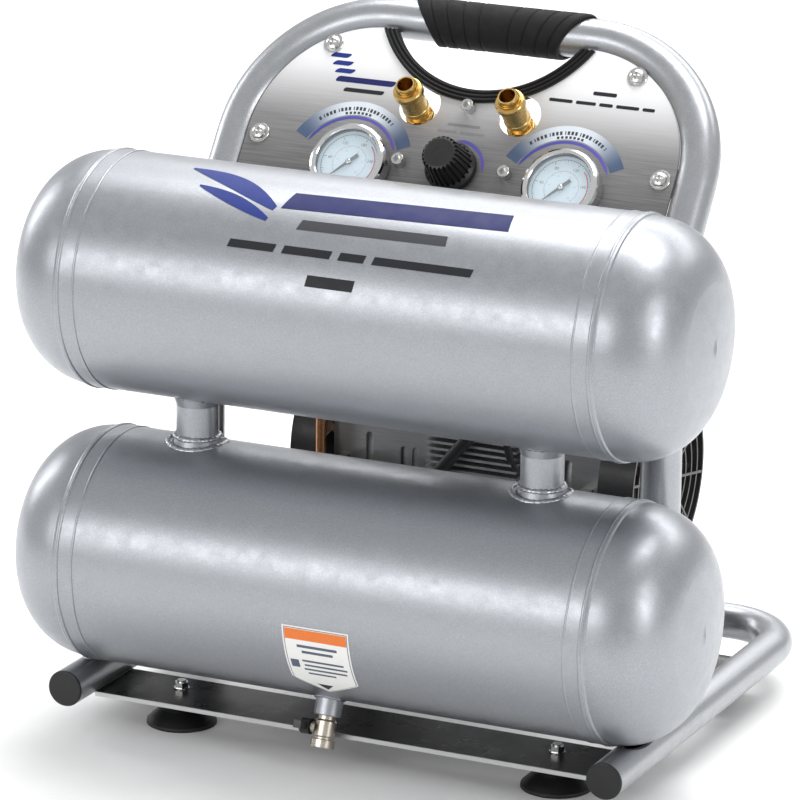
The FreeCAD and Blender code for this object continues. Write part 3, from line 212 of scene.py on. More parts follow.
def silver(name, base=(0.338, 0.352, 0.376), rough=0.37):
    p = Paint(name, base, metallic=0.82, rough=rough, tint=0.13, grain=1900.0, detail=2.0, patch=0.03, patch_scale=14.0,
              rough_var=0.05, bump=0.22, bump_scale=1500.0, bump_dist=0.00022, coat=0.12, coat_rough=0.22,
              second_bump=(55.0, 0.10, 0.0006))
    # scattered bright flakes
    vor = p.n.new("ShaderNodeTexVoronoi")
    vor.inputs["Scale"].default_value = 1500.0
    p.l.new(p.co, vor.inputs["Vector"])
    sep = p.n.new("ShaderNodeSeparateColor")
    p.l.new(vor.outputs["Color"], sep.inputs[0])
    fl = p.rng(sep.outputs[0], 0.80, 0.98, 0.0, 0.45)
    p.color = p.mix(fl, p.color, [c * 1.25 for c in base])
    return p


M = {}
M["silver"] = silver("silver_hammered_paint").done()
M["silver_frame"] = silver("silver_frame_paint", base=(0.37, 0.382, 0.402), rough=0.33).done()
M["weld"] = Paint("weld_bead_paint", (0.42, 0.435, 0.46), metallic=0.85, rough=0.30, tint=0.16, grain=900.0, patch=0.05,
                  patch_scale=60.0, bump=0.5, bump_scale=420.0, bump_dist=0.0005, coat=0.3).done()
M["black_paint"] = Paint("black_gloss_enamel", (0.012, 0.012, 0.013), rough=0.22, tint=0.25, grain=700.0, bump=0.06,
                         bump_scale=260.0, bump_dist=0.0004, coat=0.6, coat_rough=0.08, spec=0.6).done()
M["rubber"] = Paint("black_moulded_rubber", (0.007, 0.007, 0.0075), rough=0.50, tint=0.3, grain=1600.0, bump=0.25,
                    bump_scale=1800.0, bump_dist=0.0001, patch=0.1, patch_scale=25.0, spec=0.4).done()
M["foam"] = Paint("black_foam_grip", (0.007, 0.007, 0.0075), rough=0.72, tint=0.35, grain=2300.0, bump=0.5, bump_scale=2600.0,
                  bump_dist=0.00016, patch=0.08, patch_scale=30.0, spec=0.28).done()
M["trim"] = Paint("black_edge_trim", (0.006, 0.006, 0.0065), rough=0.42, tint=0.3, grain=1700.0, bump=0.2, bump_scale=1500.0,
                  bump_dist=0.0001, patch=0.08, patch_scale=30.0, spec=0.25).done()
M["plastic"] = Paint("black_moulded_plastic", (0.009, 0.009, 0.0095), rough=0.42, tint=0.22, grain=1500.0, bump=0.22,
                     bump_scale=2100.0, bump_dist=0.0001, spec=0.45).done()
M["cap"] = Paint("black_end_cap_plastic", (0.007, 0.007, 0.0075), rough=0.36, tint=0.25, grain=1100.0, bump=0.14,
                 bump_scale=1400.0, bump_dist=0.0001, patch=0.07, patch_scale=40.0, spec=0.45).done()
M["red"] = Paint("red_moulded_plastic", (0.42, 0.018, 0.012), rough=0.35, tint=0.12, grain=1300.0, bump=0.1,
                 bump_scale=1700.0, bump_dist=0.0001).done()
M["zinc"] = Paint("bright_zinc_steel", (0.62, 0.62, 0.61), metallic=1.0, rough=0.24, tint=0.14, grain=900.0, bump=0.12,
                  bump_scale=900.0, bump_dist=0.0001, patch=0.08, patch_scale=110.0).done()
M["steel"] = Paint("turned_steel", (0.52, 0.52, 0.51), metallic=1.0, rough=0.32, tint=0.12, grain=1500.0, stretch=(6, 1, 1),
                   bump=0.15, bump_scale=1400.0, bump_dist=0.00008, patch=0.08).done()
M["nickel"] = Paint("satin_nickel", (0.50, 0.46, 0.39), metallic=1.0, rough=0.30, tint=0.15, grain=1100.0, bump=0.18,
                    bump_scale=1300.0, bump_dist=0.0001, patch=0.12, patch_scale=120.0).done()
M["chrome"] = Paint("polished_chrome", (0.74, 0.745, 0.75), metallic=1.0, rough=0.10, tint=0.04, grain=700.0, rough_var=0.03,
                    bump=0.03, bump_scale=500.0, bump_dist=0.0001, patch=0.03, patch_scale=80.0).done()
M["brass"] = Paint("machined_brass", (0.66, 0.44, 0.15), metallic=1.0, rough=0.27, tint=0.14, grain=1300.0, bump=0.16,
                   bump_scale=1500.0, bump_dist=0.00008, patch=0.12, patch_scale=90.0).done()
M["alu"] = Paint("cast_aluminium", (0.50, 0.51, 0.52), metallic=0.9, rough=0.46, tint=0.16, grain=900.0, bump=0.4,
                 bump_scale=1100.0, bump_dist=0.0002, patch=0.08, patch_scale=30.0).done()
M["alu_smooth"] = Paint("drawn_aluminium", (0.58, 0.59, 0.60), metallic=1.0, rough=0.30, tint=0.08, grain=700.0,
                        stretch=(0.1, 1, 1), bump=0.1, bump_scale=1500.0, bump_dist=0.00008, patch=0.06).done()
M["iron"] = Paint("stator_laminations", (0.10, 0.10, 0.11), metallic=0.7, rough=0.55, tint=0.3, grain=1400.0,
                  stretch=(8, 0.2, 0.2), bump=0.5, bump_scale=900.0, bump_dist=0.0002).done()
M["copper"] = Paint("dull_copper_tube", (0.40, 0.19, 0.09), metallic=1.0, rough=0.36, tint=0.2, grain=700.0, bump=0.12,
                    bump_scale=900.0, bump_dist=0.0001, patch=0.16, patch_scale=45.0).done()
M["lead"] = Paint("black_cable_sheath", (0.014, 0.014, 0.015), rough=0.45, tint=0.25, grain=1500.0, bump=0.15,
                  bump_scale=1200.0, bump_dist=0.0001, patch=0.06, spec=0.4).done()
M["needle"] = Paint("black_pointer_paint", (0.015, 0.015, 0.02), rough=0.4, tint=0.15, grain=1500.0, bump=0.04,
                    bump_scale=1500.0, bump_dist=0.00005).done()
M["lens"] = Paint("clear_lens", (0.80, 0.90, 0.95), rough=0.05, tint=0.02, grain=300.0, rough_var=0.02, bump=0.02,
                  bump_scale=90.0, bump_dist=0.0001, patch=0.0, alpha=0.13, spec=0.8).done()
M["dial"] = Paint("pale_dial_card", (0.66, 0.77, 0.84), rough=0.45, tint=0.02, grain=1300.0, bump=0.05, bump_scale=1900.0,
                  bump_dist=0.00005, patch=0.03, patch_scale=40.0).done()


def ink(name, color, rough=0.5, tint=0.10, coat=0.0):
    return Paint(name, color, rough=rough, spec=0.25, tint=tint, grain=1700.0, bump=0.12, bump_scale=1500.0, bump_dist=0.0001,
                 patch=0.04, patch_scale=60.0, coat=coat).done()


M["ink_navy"] = ink("navy_print", (0.010, 0.014, 0.10))
M["ink_blue"] = ink("blue_print", (0.014, 0.030, 0.19))
M["ink_dark"] = ink("dark_grey_print", (0.014, 0.016, 0.019))
M["ink_grey"] = ink("grey_print", (0.045, 0.048, 0.055))
M["ink_mid"] = ink("mid_grey_print", (0.20, 0.205, 0.215))
M["ink_red"] = ink("red_scale_print", (0.55, 0.05, 0.06))
M["ink_dial"] = ink("dial_grey_print", (0.10, 0.12, 0.16))
M["ink_pale"] = ink("dial_pale_print", (0.42, 0.36, 0.42))
M["label_white"] = ink("white_vinyl_label", (0.78, 0.78, 0.76), rough=0.35, tint=0.03, coat=0.3)
M["label_orange"] = ink("orange_label_band", (0.72, 0.18, 0.03), rough=0.35, coat=0.3)

# brushed panel: fine horizontal brushing, with painted reflection and shade: dark low down and bright towards the top,
# where the sheet mirrors the lit surroundings
pp = Paint("brushed_panel_painted_reflection", (0.42, 0.41, 0.41), metallic=0.25, rough=0.34, tint=0.10, grain=1500.0,
           stretch=(0.02, 1, 1), detail=4.0, patch=0.02, rough_var=0.07, bump=0.12, bump_scale=1800.0, bump_dist=0.00006)
hgt = pp.dot(UPV)
s0 = P(0, 0).dot(UPV)
low = pp.rng(hgt, s0 - 0.040, s0 + 0.026, 0.0, 1.0)
high = pp.rng(hgt, s0 + 0.010, s0 + 0.074, 0.0, 1.0, smooth=True)
# painted reflection and shade: colour ramp from near black at the bottom to near white at the top
painted_reflection_grad = pp.mix(high, pp.mix(low, (0.030, 0.027, 0.027), (0.22, 0.215, 0.22)), (0.98, 0.985, 1.0))
pp.color = pp.mix(0.94, pp.color, painted_reflection_grad, "MIX")
fine = pp.noise(1500.0, 4.0, pp.v)
pp.color = pp.mix(pp.rng(fine, 0.3, 0.7, 0.0, 0.11), pp.color, (0.9, 0.9, 0.9))
M["panel"] = pp.done()

# side plate: duller brushed sheet
M["sheet"] = Paint("brushed_sheet", (0.44, 0.44, 0.44), metallic=0.85, rough=0.38, tint=0.10, grain=1200.0, stretch=(0.04, 1, 1),
                   bump=0.14, bump_scale=1500.0, bump_dist=0.00008, patch=0.05).done()

# front plate: black enamel, with a painted highlight along its front edge where the edge catches the light
fp = Paint("black_plate_painted_edge_highlight", (0.006, 0.006, 0.0065), rough=0.30, tint=0.25, grain=700.0, bump=0.06, bump_scale=260.0,
           bump_dist=0.0004, coat=0.05, coat_rough=0.2, spec=0.22)
edge_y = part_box("front_foot_plate")[0].y
sy = fp.n.new("ShaderNodeSeparateXYZ")
fp.l.new(fp.co, sy.inputs[0])
wob = fp.math("MULTIPLY", fp.noise(60.0, 3.0, fp.co), 0.0012)
edge_highlight_mask = fp.rng(fp.math("ADD", sy.outputs["Y"], wob), edge_y + 0.0012, edge_y + 0.0018, 1.0, 0.0)
# painted highlight: light grey metal finish along the front edge
fp.over(edge_highlight_mask, (0.60, 0.60, 0.60), 0.9, 0.30)
M["front_plate"] = fp.done()

# fan rotor: black blades, brownish boss
fb = Paint("fan_plastic", (0.016, 0.016, 0.017), rough=0.45, tint=0.22, grain=1500.0, bump=0.2, bump_scale=1900.0,
           bump_dist=0.0001)
AX = W(0, 213.0, 147.0)
near = fb.near_line(AX, (1, 0, 0))
fb.over(fb.rng(near, 0.0152, 0.0158, 1.0, 0.0), (0.17, 0.10, 0.055), 0.4, 0.45)
M["fan"] = fb.done()

# guard: black rim and rings
gd = Paint("guard_black", (0.020, 0.020, 0.021), rough=0.38, tint=0.25, grain=1300.0, bump=0.18, bump_scale=1500.0,
           bump_dist=0.0001, spec=0.5)
M["guard"] = gd.done()

# heads: cast aluminium with black intake filters
hd = Paint("head_cast_aluminium", (0.50, 0.51, 0.52), metallic=0.9, rough=0.46, tint=0.16, grain=900.0, bump=0.4,
           bump_scale=1100.0, bump_dist=0.0002, patch=0.08, patch_scale=30.0)
near_l = hd.near_line(W(-73.0, 234.0, 0), (0, 0, 1))
near_r = hd.near_line(W(73.0, 234.0, 0), (0, 0, 1))
both = hd.math("MINIMUM", near_l, near_r)
sz = hd.n.new("ShaderNodeSeparateXYZ")
hd.l.new(hd.co, sz.inputs[0])
hi_ = hd.rng(sz.outputs["Z"], 0.2562 + LIFT * MM, 0.2566 + LIFT * MM, 0.0, 1.0)
mask = hd.math("MULTIPLY", hd.rng(both, 0.0131, 0.0134, 1.0, 0.0), hi_)
hd.over(mask, (0.018, 0.018, 0.019), 0.0, 0.45)
M["heads"] = hd.done()

# drain handle: black hub and lever, steel screw
dh = Paint("drain_handle_black", (0.014, 0.014, 0.015), rough=0.40, tint=0.2, grain=1500.0, bump=0.2, bump_scale=1900.0,
           bump_dist=0.0001)
lo_h, hi_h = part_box("drain_valve_handle")
sx = dh.n.new("ShaderNodeSeparateXYZ")
dh.l.new(dh.co, sx.inputs[0])
dh.over(dh.rng(sx.outputs["X"], lo_h.x + 0.00155, lo_h.x + 0.00165, 1.0, 0.0), (0.60, 0.58, 0.54), 1.0, 0.28)
M["drain_handle"] = dh.done()

NODE_MAT = {
    "lower_tank_shell": "silver", "upper_tank_shell": "silver", "lower_tank_heads": "silver", "upper_tank_heads": "silver",
    "tank_link_pipes": "silver", "base_frame_tube": "silver_frame", "handle_frame_tube": "silver_frame",
    "frame_weld_brackets": "silver_frame", "base_end_caps": "cap", "front_foot_plate": "front_plate",
    "rear_foot_plate": "black_paint", "rubber_feet": "rubber", "foot_fasteners": "zinc", "handle_grip": "foam",
    "control_panel": "panel", "panel_edge_trim": "trim", "panel_screws": "zinc", "manifold_block": "alu",
    "regulator_bonnet": "alu", "regulator_stem": "steel", "regulator_knob": "plastic", "gauge_cases": "plastic",
    "gauge_bezels": "chrome", "gauge_dials": "dial", "gauge_lenses": "lens", "tank_gauge_needle": "needle",
    "line_gauge_needle": "needle", "coupler_sleeve_left": "brass", "coupler_sleeve_right": "brass",
    "coupler_bodies": "brass", "pressure_switch_base": "plastic", "pressure_switch_cover": "plastic",
    "pressure_switch_button": "red", "cord_gland": "plastic", "relief_valve_body": "brass", "relief_valve_ring": "zinc",
    "tank_feed_tube": "alu_smooth", "drain_valve_body": "nickel", "drain_valve_ball": "nickel",
    "drain_valve_handle": "drain_handle", "motor_housing": "alu", "motor_stator": "iron", "rotor_shaft": "steel",
    "shaft_bearings": "zinc", "crankcases": "alu", "pump_cylinders": "alu", "cylinder_heads": "heads",
    "piston_rod_left": "alu", "piston_rod_right": "alu", "cooling_fans": "fan", "fan_guards": "guard",
    "pump_side_plate": "sheet", "pump_tie_rail": "black_paint", "pump_carrier": "black_paint",
    "pump_rubber_mounts": "rubber", "run_capacitor": "alu_smooth", "thermal_reset_button": "red",
    "discharge_tubes": "copper", "tank_fittings": "brass", "wire_harness": "lead",
}
for name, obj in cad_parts.items():
    obj.data.materials.clear()
    obj.data.materials.append(M[NODE_MAT[name]])


# ------------------------------------------------------------------ mesh tools
def build(name, verts, faces, mat, body=ROOT, smooth=True):
    me = bpy.data.meshes.new(name)
    me.from_pydata([tuple(v) for v in verts], [], faces)
    me.validate()
    bm = bmesh.new()
    bm.from_mesh(me)
    bmesh.ops.remove_doubles(bm, verts=bm.verts, dist=1e-7)
    bmesh.ops.recalc_face_normals(bm, faces=bm.faces)
    bm.to_mesh(me)
    bm.free()
    for p in me.polygons:
        p.use_smooth = smooth
    me.materials.append(mat)
    ob = bpy.data.objects.new(name, me)
    bpy.context.scene.collection.objects.link(ob)
    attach(ob, body)
    return ob


class Bag:
    """Collects several small shapes for one piece."""

    def __init__(self):
        self.v, self.f = [], []

    def add(self, verts, faces):
        k = len(self.v)
        self.v += [Vector(v) for v in verts]
        self.f += [tuple(i + k for i in f) for f in faces]

    def slab(self, quad, thick_dir, thick):
        """A thin plate on the polygon quad, raised along thick_dir."""
        n = len(quad)
        up = Vector(thick_dir) * thick
        top = [Vector(q) + up for q in quad]
        faces = [tuple(range(n)), tuple(range(2 * n - 1, n - 1, -1))]
        faces += [(i, i + n, (i + 1) % n + n, (i + 1) % n) for i in range(n)]
        self.add(list(quad) + top, faces)

    def grid(self, fn, nu, nv, close_u=False):
        vs = [fn(i / nu, j / nv) for i in range(nu + (0 if close_u else 1)) for j in range(nv + 1)]
        fs = []
        rows = nu if close_u else nu + 1
        for i in range(nu):
            for j in range(nv):
                a = i * (nv + 1) + j
                b = ((i + 1) % rows) * (nv + 1) + j
                fs.append((a, b, b + 1, a + 1))
        self.add(vs, fs)

    def make(self, name, mat, body=ROOT, smooth=False):
        return build(name, self.v, self.f, mat, body, smooth)


def bead(name, path, radius, mat, normals=None, lumps=0.35, pitch=5.0, seed=0, closed=True, ring=10):
    """A weld bead: a lumpy tube along a path in metres, with overlapping ripples."""
    n = len(path)
    verts, faces = [], []
    total = 0.0
    for i in range(n):
        a, b = path[(i - 1) % n if closed else max(i - 1, 0)], path[(i + 1) % n if closed else min(i + 1, n - 1)]
        t = (b - a).normalized()
        up = normals[i] if normals else Vector((0, 0, 1))
        side = t.cross(up).normalized()
        up2 = side.cross(t).normalized()
        if i:
            total += (path[i] - path[i - 1]).length
        ripple = abs(math.sin(math.pi * total / (pitch * MM)))
        wob = noise.noise(path[i] * 130.0 + Vector((seed, 0, 0)))
        r = radius * (1.0 - lumps * 0.55 * (1.0 - ripple) + lumps * 0.6 * wob)
        for k in range(ring):
            c = 2 * math.pi * k / ring
            verts.append(path[i] + (side * math.cos(c) * r * 1.25 + up2 * math.sin(c) * r * 0.72))
    m = n if closed else n - 1
    for i in range(m):
        for k in range(ring):
            a = i * ring + k
            b = i * ring + (k + 1) % ring
            c2 = ((i + 1) % n) * ring + (k + 1) % ring
            d = ((i + 1) % n) * ring + k
            faces.append((a, b, c2, d))
    if not closed:
        faces.append(tuple(range(ring)))
        faces.append(tuple(range((n - 1) * ring, n * ring))[::-1])
    return build(name, verts, faces, mat)


# ------------------------------------------------------------------ weld beads
def seam(name, axis, x, r, rad, seed):
    path, nrm = [], []
    for k in range(360):
        a = 2 * math.pi * k / 360
        d = Vector((0, math.cos(a), math.sin(a)))
        w = noise.noise(Vector((math.cos(a) * 3, math.sin(a) * 3, seed))) * 0.5
        path.append(W(x + w, axis[0], axis[1]) + d * r * MM)
        nrm.append(d)
    bead(name, path, rad * MM, M["silver"], nrm, lumps=0.22, pitch=7.0, seed=seed, ring=8)


for k, (axis, tag) in enumerate(((LOW, "lower"), (UPP, "upper"))):
    for s, side in ((-1, "left"), (1, "right")):
        seam("seam_bead_%s_%s_outer" % (tag, side), axis, s * 188.6, 80.35, 0.95, 3 + k * 10 + s)
        seam("seam_bead_%s_%s_inner" % (tag, side), axis, s * 177.6, 80.05, 0.75, 5 + k * 10 + s)


def saddle(name, x, y, rr, axis, up, rad, seed, mat="weld"):
    """Bead where an upright pipe meets a lying tank."""
    path, nrm = [], []
    for k in range(180):
        a = 2 * math.pi * k / 180
        px, py = x + rr * math.cos(a), y + rr * math.sin(a)
        dy = py - axis[0]
        dz = math.sqrt(max(R * R - dy * dy, 0.0)) * up
        path.append(W(px, py, axis[1] + dz))
        out = Vector((math.cos(a), math.sin(a), 0)) + Vector((0, dy, dz)).normalized()
        nrm.append(out.normalized())
    bead(name, path, rad * MM, M[mat], nrm, lumps=0.45, pitch=4.2, seed=seed)


for s, side in ((-1, "left"), (1, "right")):
    saddle("link_weld_low_%s" % side, 125.5 * s, 2.0, 20.3, LOW, 1, 1.7, 11 + s)
    saddle("link_weld_high_%s" % side, 125.5 * s, 2.0, 15.2, UPP, -1, 2.0, 17 + s)
    # bead between the pipe and its collar
    path, nrm = [], []
    for k in range(120):
        a = 2 * math.pi * k / 120
        d = Vector((math.cos(a), math.sin(a), 0))
        path.append(W(125.5 * s, 2.0, 199.8) + d * 15.4 * MM)
        nrm.append((d + Vector((0, 0, 0.8))).normalized())
    bead("link_collar_weld_%s" % side, path, 1.5 * MM, M["weld"], nrm, lumps=0.5, pitch=4.0, seed=23 + s)

da = math.radians(22)
DD = Vector((0, -math.sin(da), -math.cos(da)))
AC = Vector((0, math.cos(da), -math.sin(da)))
path, nrm = [], []
for k in range(120):
    a = 2 * math.pi * k / 120
    t = 9.9 * math.sin(a)
    path.append(W(-10.0 + 9.9 * math.cos(a), 0, 116.0) + (AC * t + DD * math.sqrt(R * R - t * t)) * MM)
    nrm.append((Vector((math.cos(a), 0, 0)) + AC * math.sin(a) + DD).normalized())
bead("drain_boss_weld", path, 1.3 * MM, M["weld"], nrm, lumps=0.4, pitch=3.5, seed=41)

# ------------------------------------------------------------------ foam grip
GR, GH, HT, HD = 16.8, 66.0, 99.5, -9.0
lo_g, hi_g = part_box("handle_grip")


def grip_surface(u, v):
    """u from -1 to 1 along the grip, v once round it; millimetres in the panel frame."""
    a = 2 * math.pi * v
    s_loc, d_loc = math.cos(a), math.sin(a)
    half = GH - 0.60 * (GR - GR * s_loc)
    fall = max(0.0, (abs(u) - 0.955) / 0.045)
    r = GR - 0.15 - 1.6 * fall * fall - 0.25 * (1 - abs(u))
    for g in (0.0, 0.215, 0.43, 0.645, 0.84):
        for q in ((u - g), (u + g)) if g else ((u - 2.0),):
            r -= 0.95 * math.exp(-((q * half) / 0.75) ** 2)
    r += 0.10 * noise.noise(Vector((u * 9, s_loc * 2, d_loc * 2)))
    x = 3.0 + u * half
    return P(x, HT + r * s_loc, HD + r * d_loc)


bag = Bag()
NU, NV = 330, 72
verts = [grip_surface(-1 + 2 * i / NU, j / NV) for i in range(NU + 1) for j in range(NV)]
faces = []
for i in range(NU):
    for j in range(NV):
        faces.append((i * NV + j, (i + 1) * NV + j, (i + 1) * NV + (j + 1) % NV, i * NV + (j + 1) % NV))
# end faces down to the tube
for end, i in ((-1, 0), (1, NU)):
    base = len(verts)
    for j in range(NV):
        a = 2 * math.pi * j / NV
        rr = 13.85
        half = GH - 0.60 * (GR - GR * math.cos(a))
        verts.append(P(3.0 + end * (half - 0.5), HT + rr * math.cos(a), HD + rr * math.sin(a)))
    for j in range(NV):
        q = (i * NV + j, i * NV + (j + 1) % NV, base + (j + 1) % NV, base + j)
        faces.append(q if end < 0 else q[::-1])
# inner face along the tube
b0, b1 = len(verts) - 2 * NV, len(verts) - NV
for j in range(NV):
    faces.append((b0 + j, b0 + (j + 1) % NV, b1 + (j + 1) % NV, b1 + j))
grip = build("foam_grip_cover", verts, faces, M["foam"])
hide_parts("handle_grip")


# ------------------------------------------------------------------ panel prints
def sector(bag, cx, cs, r0, r1, a0, a1, n=48, d=0.12, taper=0.0, rings=1):
    """An annular sector on the panel, thin ends if taper is set."""
    rows = []
    for i in range(n + 1):
        u = i / n
        a = math.radians(a0 + (a1 - a0) * u)
        w = 1.0
        if taper:
            w = min(1.0, min(u, 1 - u) / taper)
            w = math.sin(w * math.pi / 2)
        mid = (r0 + r1) / 2
        q0, q1 = mid - (r1 - r0) / 2 * w, mid + (r1 - r0) / 2 * w
        rows.append([(cx + (q0 + (q1 - q0) * k / rings) * math.cos(a), cs + (q0 + (q1 - q0) * k / rings) * math.sin(a))
                     for k in range(rings + 1)])
    vs = [P(x, s, d) for row in rows for x, s in row]
    m = rings + 1
    fs = [(i * m + k, (i + 1) * m + k, (i + 1) * m + k + 1, i * m + k + 1) for i in range(n) for k in range(rings)]
    bag.add(vs, fs)


def crescent_material(name, cx, cs):
    """Silver in the middle of the arc, slate blue to the ends."""
    p = Paint(name, (0.5, 0.55, 0.6), metallic=0.35, rough=0.35, tint=0.06, grain=1500.0, bump=0.05, bump_scale=1500.0,
              bump_dist=0.00005, patch=0.0)
    c = P(cx, cs)
    dx = p.math("SUBTRACT", p.dot((1, 0, 0)), c.x)
    ds = p.math("SUBTRACT", p.dot(UPV), c.dot(UPV))
    side = p.math("ABSOLUTE", p.math("ARCTAN2", dx, ds))
    f = p.rng(side, 0.15, 1.05, 0.0, 1.0, smooth=True)
    p.color = p.mix(f, (0.74, 0.80, 0.86), (0.075, 0.115, 0.20))
    return p.done()


def arc_material(name, cx, cs, centre_angle=0.0):
    p = Paint(name, (0.1, 0.1, 0.5), metallic=0.1, rough=0.38, tint=0.06, grain=1500.0, bump=0.05, bump_scale=1500.0,
              bump_dist=0.00005, patch=0.0)
    c = P(cx, cs)
    dx = p.math("SUBTRACT", p.dot((1, 0, 0)), c.x)
    ds = p.math("SUBTRACT", p.dot(UPV), c.dot(UPV))
    side = p.math("ARCTAN2", dx, ds)
    f = p.rng(side, -1.0, 0.9, 0.0, 1.0)
    p.color = p.mix(f, (0.045, 0.06, 0.30), (0.11, 0.09, 0.42))
    return p.done()


for s, side, cx, a0, a1 in ((-1, "left", -78.5, 24.0, 154.0), (1, "right", 78.0, 27.0, 154.5)):
    b = Bag()
    sector(b, cx, -16.2, 37.6, 47.6, a0, a1, n=72, rings=4)
    b.make("panel_crescent_%s" % side, crescent_material("crescent_print_%s" % side, cx, -16.2), smooth=True)
    b = Bag()
    sector(b, cx, -16.2, 34.6, 36.7, a0 - 1.0, a1 + 1.0, n=72, d=0.14, taper=0.08)
    b.make("panel_arc_%s" % side, arc_material("arc_print_%s" % side, cx, -16.2), smooth=True)
    # fine segment marks inside the crescent
    b = Bag()
    for k in range(22):
        a = 52.0 + k * 3.7
        sector(b, cx, -16.2, 41.0, 43.6, a, a + (2.3 if k % 4 else 1.0), n=2, d=0.2)
    for k in range(7):
        a = 77.0 + k * 4.3
        sector(b, cx, -16.2, 38.2, 40.0, a, a + 2.6, n=2, d=0.2)
    b.make("panel_crescent_marks_%s" % side, M["ink_grey"], smooth=True)

b = Bag()
sector(b, 0.0, -9.8, 20.0, 22.3, 0.0, 98.0, n=40, d=0.14, taper=0.22)
b.make("panel_arc_knob", arc_material("arc_print_knob", 0.0, -9.8), smooth=True)


def bar(bag, x0, x1, s0_, s1_, slant=0.0, d=0.12, radius=0.0):
    """A slanted flat bar on the panel with softly rounded ends."""
    h = (s1_ - s0_) / 2
    n = 6
    out = []
    r = min(h, radius) if radius else 0.0
    if r:
        for k in range(n + 1):
            a = -math.pi / 2 + math.pi * k / n
            out.append((x1 - r + r * math.cos(a) + slant * (h + h * math.sin(a)), s0_ + h + h * math.sin(a)))
        for k in range(n + 1):
            a = math.pi / 2 + math.pi * k / n
            out.append((x0 + r + r * math.cos(a) + slant * (h + h * math.sin(a)), s0_ + h + h * math.sin(a)))
    else:
        out = [(x0, s0_), (x1, s0_), (x1 + slant * 2 * h, s1_), (x0 + slant * 2 * h, s1_)]
    bag.add([P(x, s, d) for x, s in out], [tuple(range(len(out)))])


rnd = random.Random(7)


def dashes(bag, x0, x1, s0_, s1_, slope=0.0, gap=0.9, words=(6.0, 9.0)):
    """A printed line of plain dashes, standing for a line of small print."""
    x = x0
    while x < x1 - 1.0:
        w = min(rnd.uniform(*words), x1 - x)
        ds = slope * (x - x0)
        bar(bag, x, x + w, s0_ + ds, s1_ + ds, radius=0.8)
        x += w + gap


b = Bag()
dashes(b, -13.0, 11.5, 21.6, 23.4, words=(24.0, 24.5))
dashes(b, -19.0, 18.0, 16.4, 18.2, gap=2.2, words=(13.0, 21.0))
b.make("panel_print_middle", M["ink_mid"])
b = Bag()
dashes(b, 84.5, 102.0, 55.2, 58.0, words=(17.0, 18.0))
dashes(b, 54.5, 131.0, 47.6, 50.0, gap=2.4, words=(9.0, 24.0))
b.make("panel_print_right", M["ink_dark"])
b = Bag()
for k in range(3):
    bar(b, -113.0 + 3.2 * k, -99.0 + 3.0 * k, 62.0 - 5.6 * k, 65.4 - 5.6 * k, slant=0.9, radius=1.4)
b.make("panel_flash_blue", M["ink_blue"])
b = Bag()
bar(b, -104.0, -60.0, 44.4, 48.6, slant=0.5, radius=1.6)
b.make("panel_flash_navy", M["ink_navy"])
b = Bag()
bar(b, -96.0, -66.0, 37.6, 40.6, slant=0.4, radius=1.2)
b.make("panel_flash_dark", M["ink_dark"])


# ------------------------------------------------------------------ tank prints
def tank_patch(bag, axis, corners, nu=24, nv=6, off=0.22, curve=None):
    """A print on a tank: corners are (x, angle above the front) for lower left, lower right, upper right, upper left."""
    c0, c1, c2, c3 = corners

    def fn(u, v):
        x = (c0[0] * (1 - u) + c1[0] * u) * (1 - v) + (c3[0] * (1 - u) + c2[0] * u) * v
        t = (c0[1] * (1 - u) + c1[1] * u) * (1 - v) + (c3[1] * (1 - u) + c2[1] * u) * v
        if curve:
            x, t = curve(x, t, u, v)
        a = math.radians(t)
        rr = R + off
        return W(x, axis[0] - rr * math.cos(a), axis[1] + rr * math.sin(a))

    bag.grid(fn, nu, nv)


def lens_shape(x, t, u, v):
    """Returns x and the angle unchanged."""
    return x, t


def swept(bag, x0, x1, t0, t1, h0, hm, h1, bow=0.0, off=0.22, nu=60, nv=5):
    """A band from (x0, t0) to (x1, t1) whose height goes h0, hm, h1 degrees, bowed upwards."""

    def fn(u, v):
        h = (h0 * (1 - u) ** 2 + 2 * hm * u * (1 - u) * 1.0 + h1 * u * u)
        t = t0 + (t1 - t0) * u + bow * math.sin(math.pi * u) + h * (v - 0.5)
        x = x0 + (x1 - x0) * u + (v - 0.5) * h * 0.45
        a = math.radians(t)
        rr = R + off
        return W(x, UPP[0] - rr * math.cos(a), UPP[1] + rr * math.sin(a))

    bag.grid(fn, nu, nv)


b = Bag()
swept(b, -122.0, -48.0, 80.0, 57.0, 1.0, 17.0, 3.0, bow=3.0)
swept(b, -108.0, -50.0, 66.0, 50.0, 1.0, 11.0, 2.0, bow=1.0)
b.make("tank_print_flash", M["ink_blue"], smooth=True)
b = Bag()
tank_patch(b, UPP, ((-44.0, 57.5), (115.0, 60.5), (112.0, 72.5), (-40.0, 69.0)), nu=60, nv=8)
b.make("tank_print_band_navy", M["ink_navy"], smooth=True)
b = Bag()
tank_patch(b, UPP, ((-27.0, 46.5), (78.0, 47.5), (77.0, 53.0), (-25.0, 52.0)), nu=40, nv=4)
b.make("tank_print_band_grey", M["ink_grey"], smooth=True)
b = Bag()
for x0, x1 in ((-71.0, -38.0), (-32.0, 2.0), (8.0, 26.0), (32.0, 101.0)):
    tank_patch(b, UPP, ((x0, 33.6), (x1, 33.6), (x1 + 1.2, 37.6), (x0 + 1.2, 37.6)), nu=20, nv=3)
tank_patch(b, UPP, ((-11.0, 19.6), (22.5, 19.6), (23.5, 25.0), (-10.0, 25.0)), nu=16, nv=3)
b.make("tank_print_bars_dark", M["ink_dark"], smooth=True)


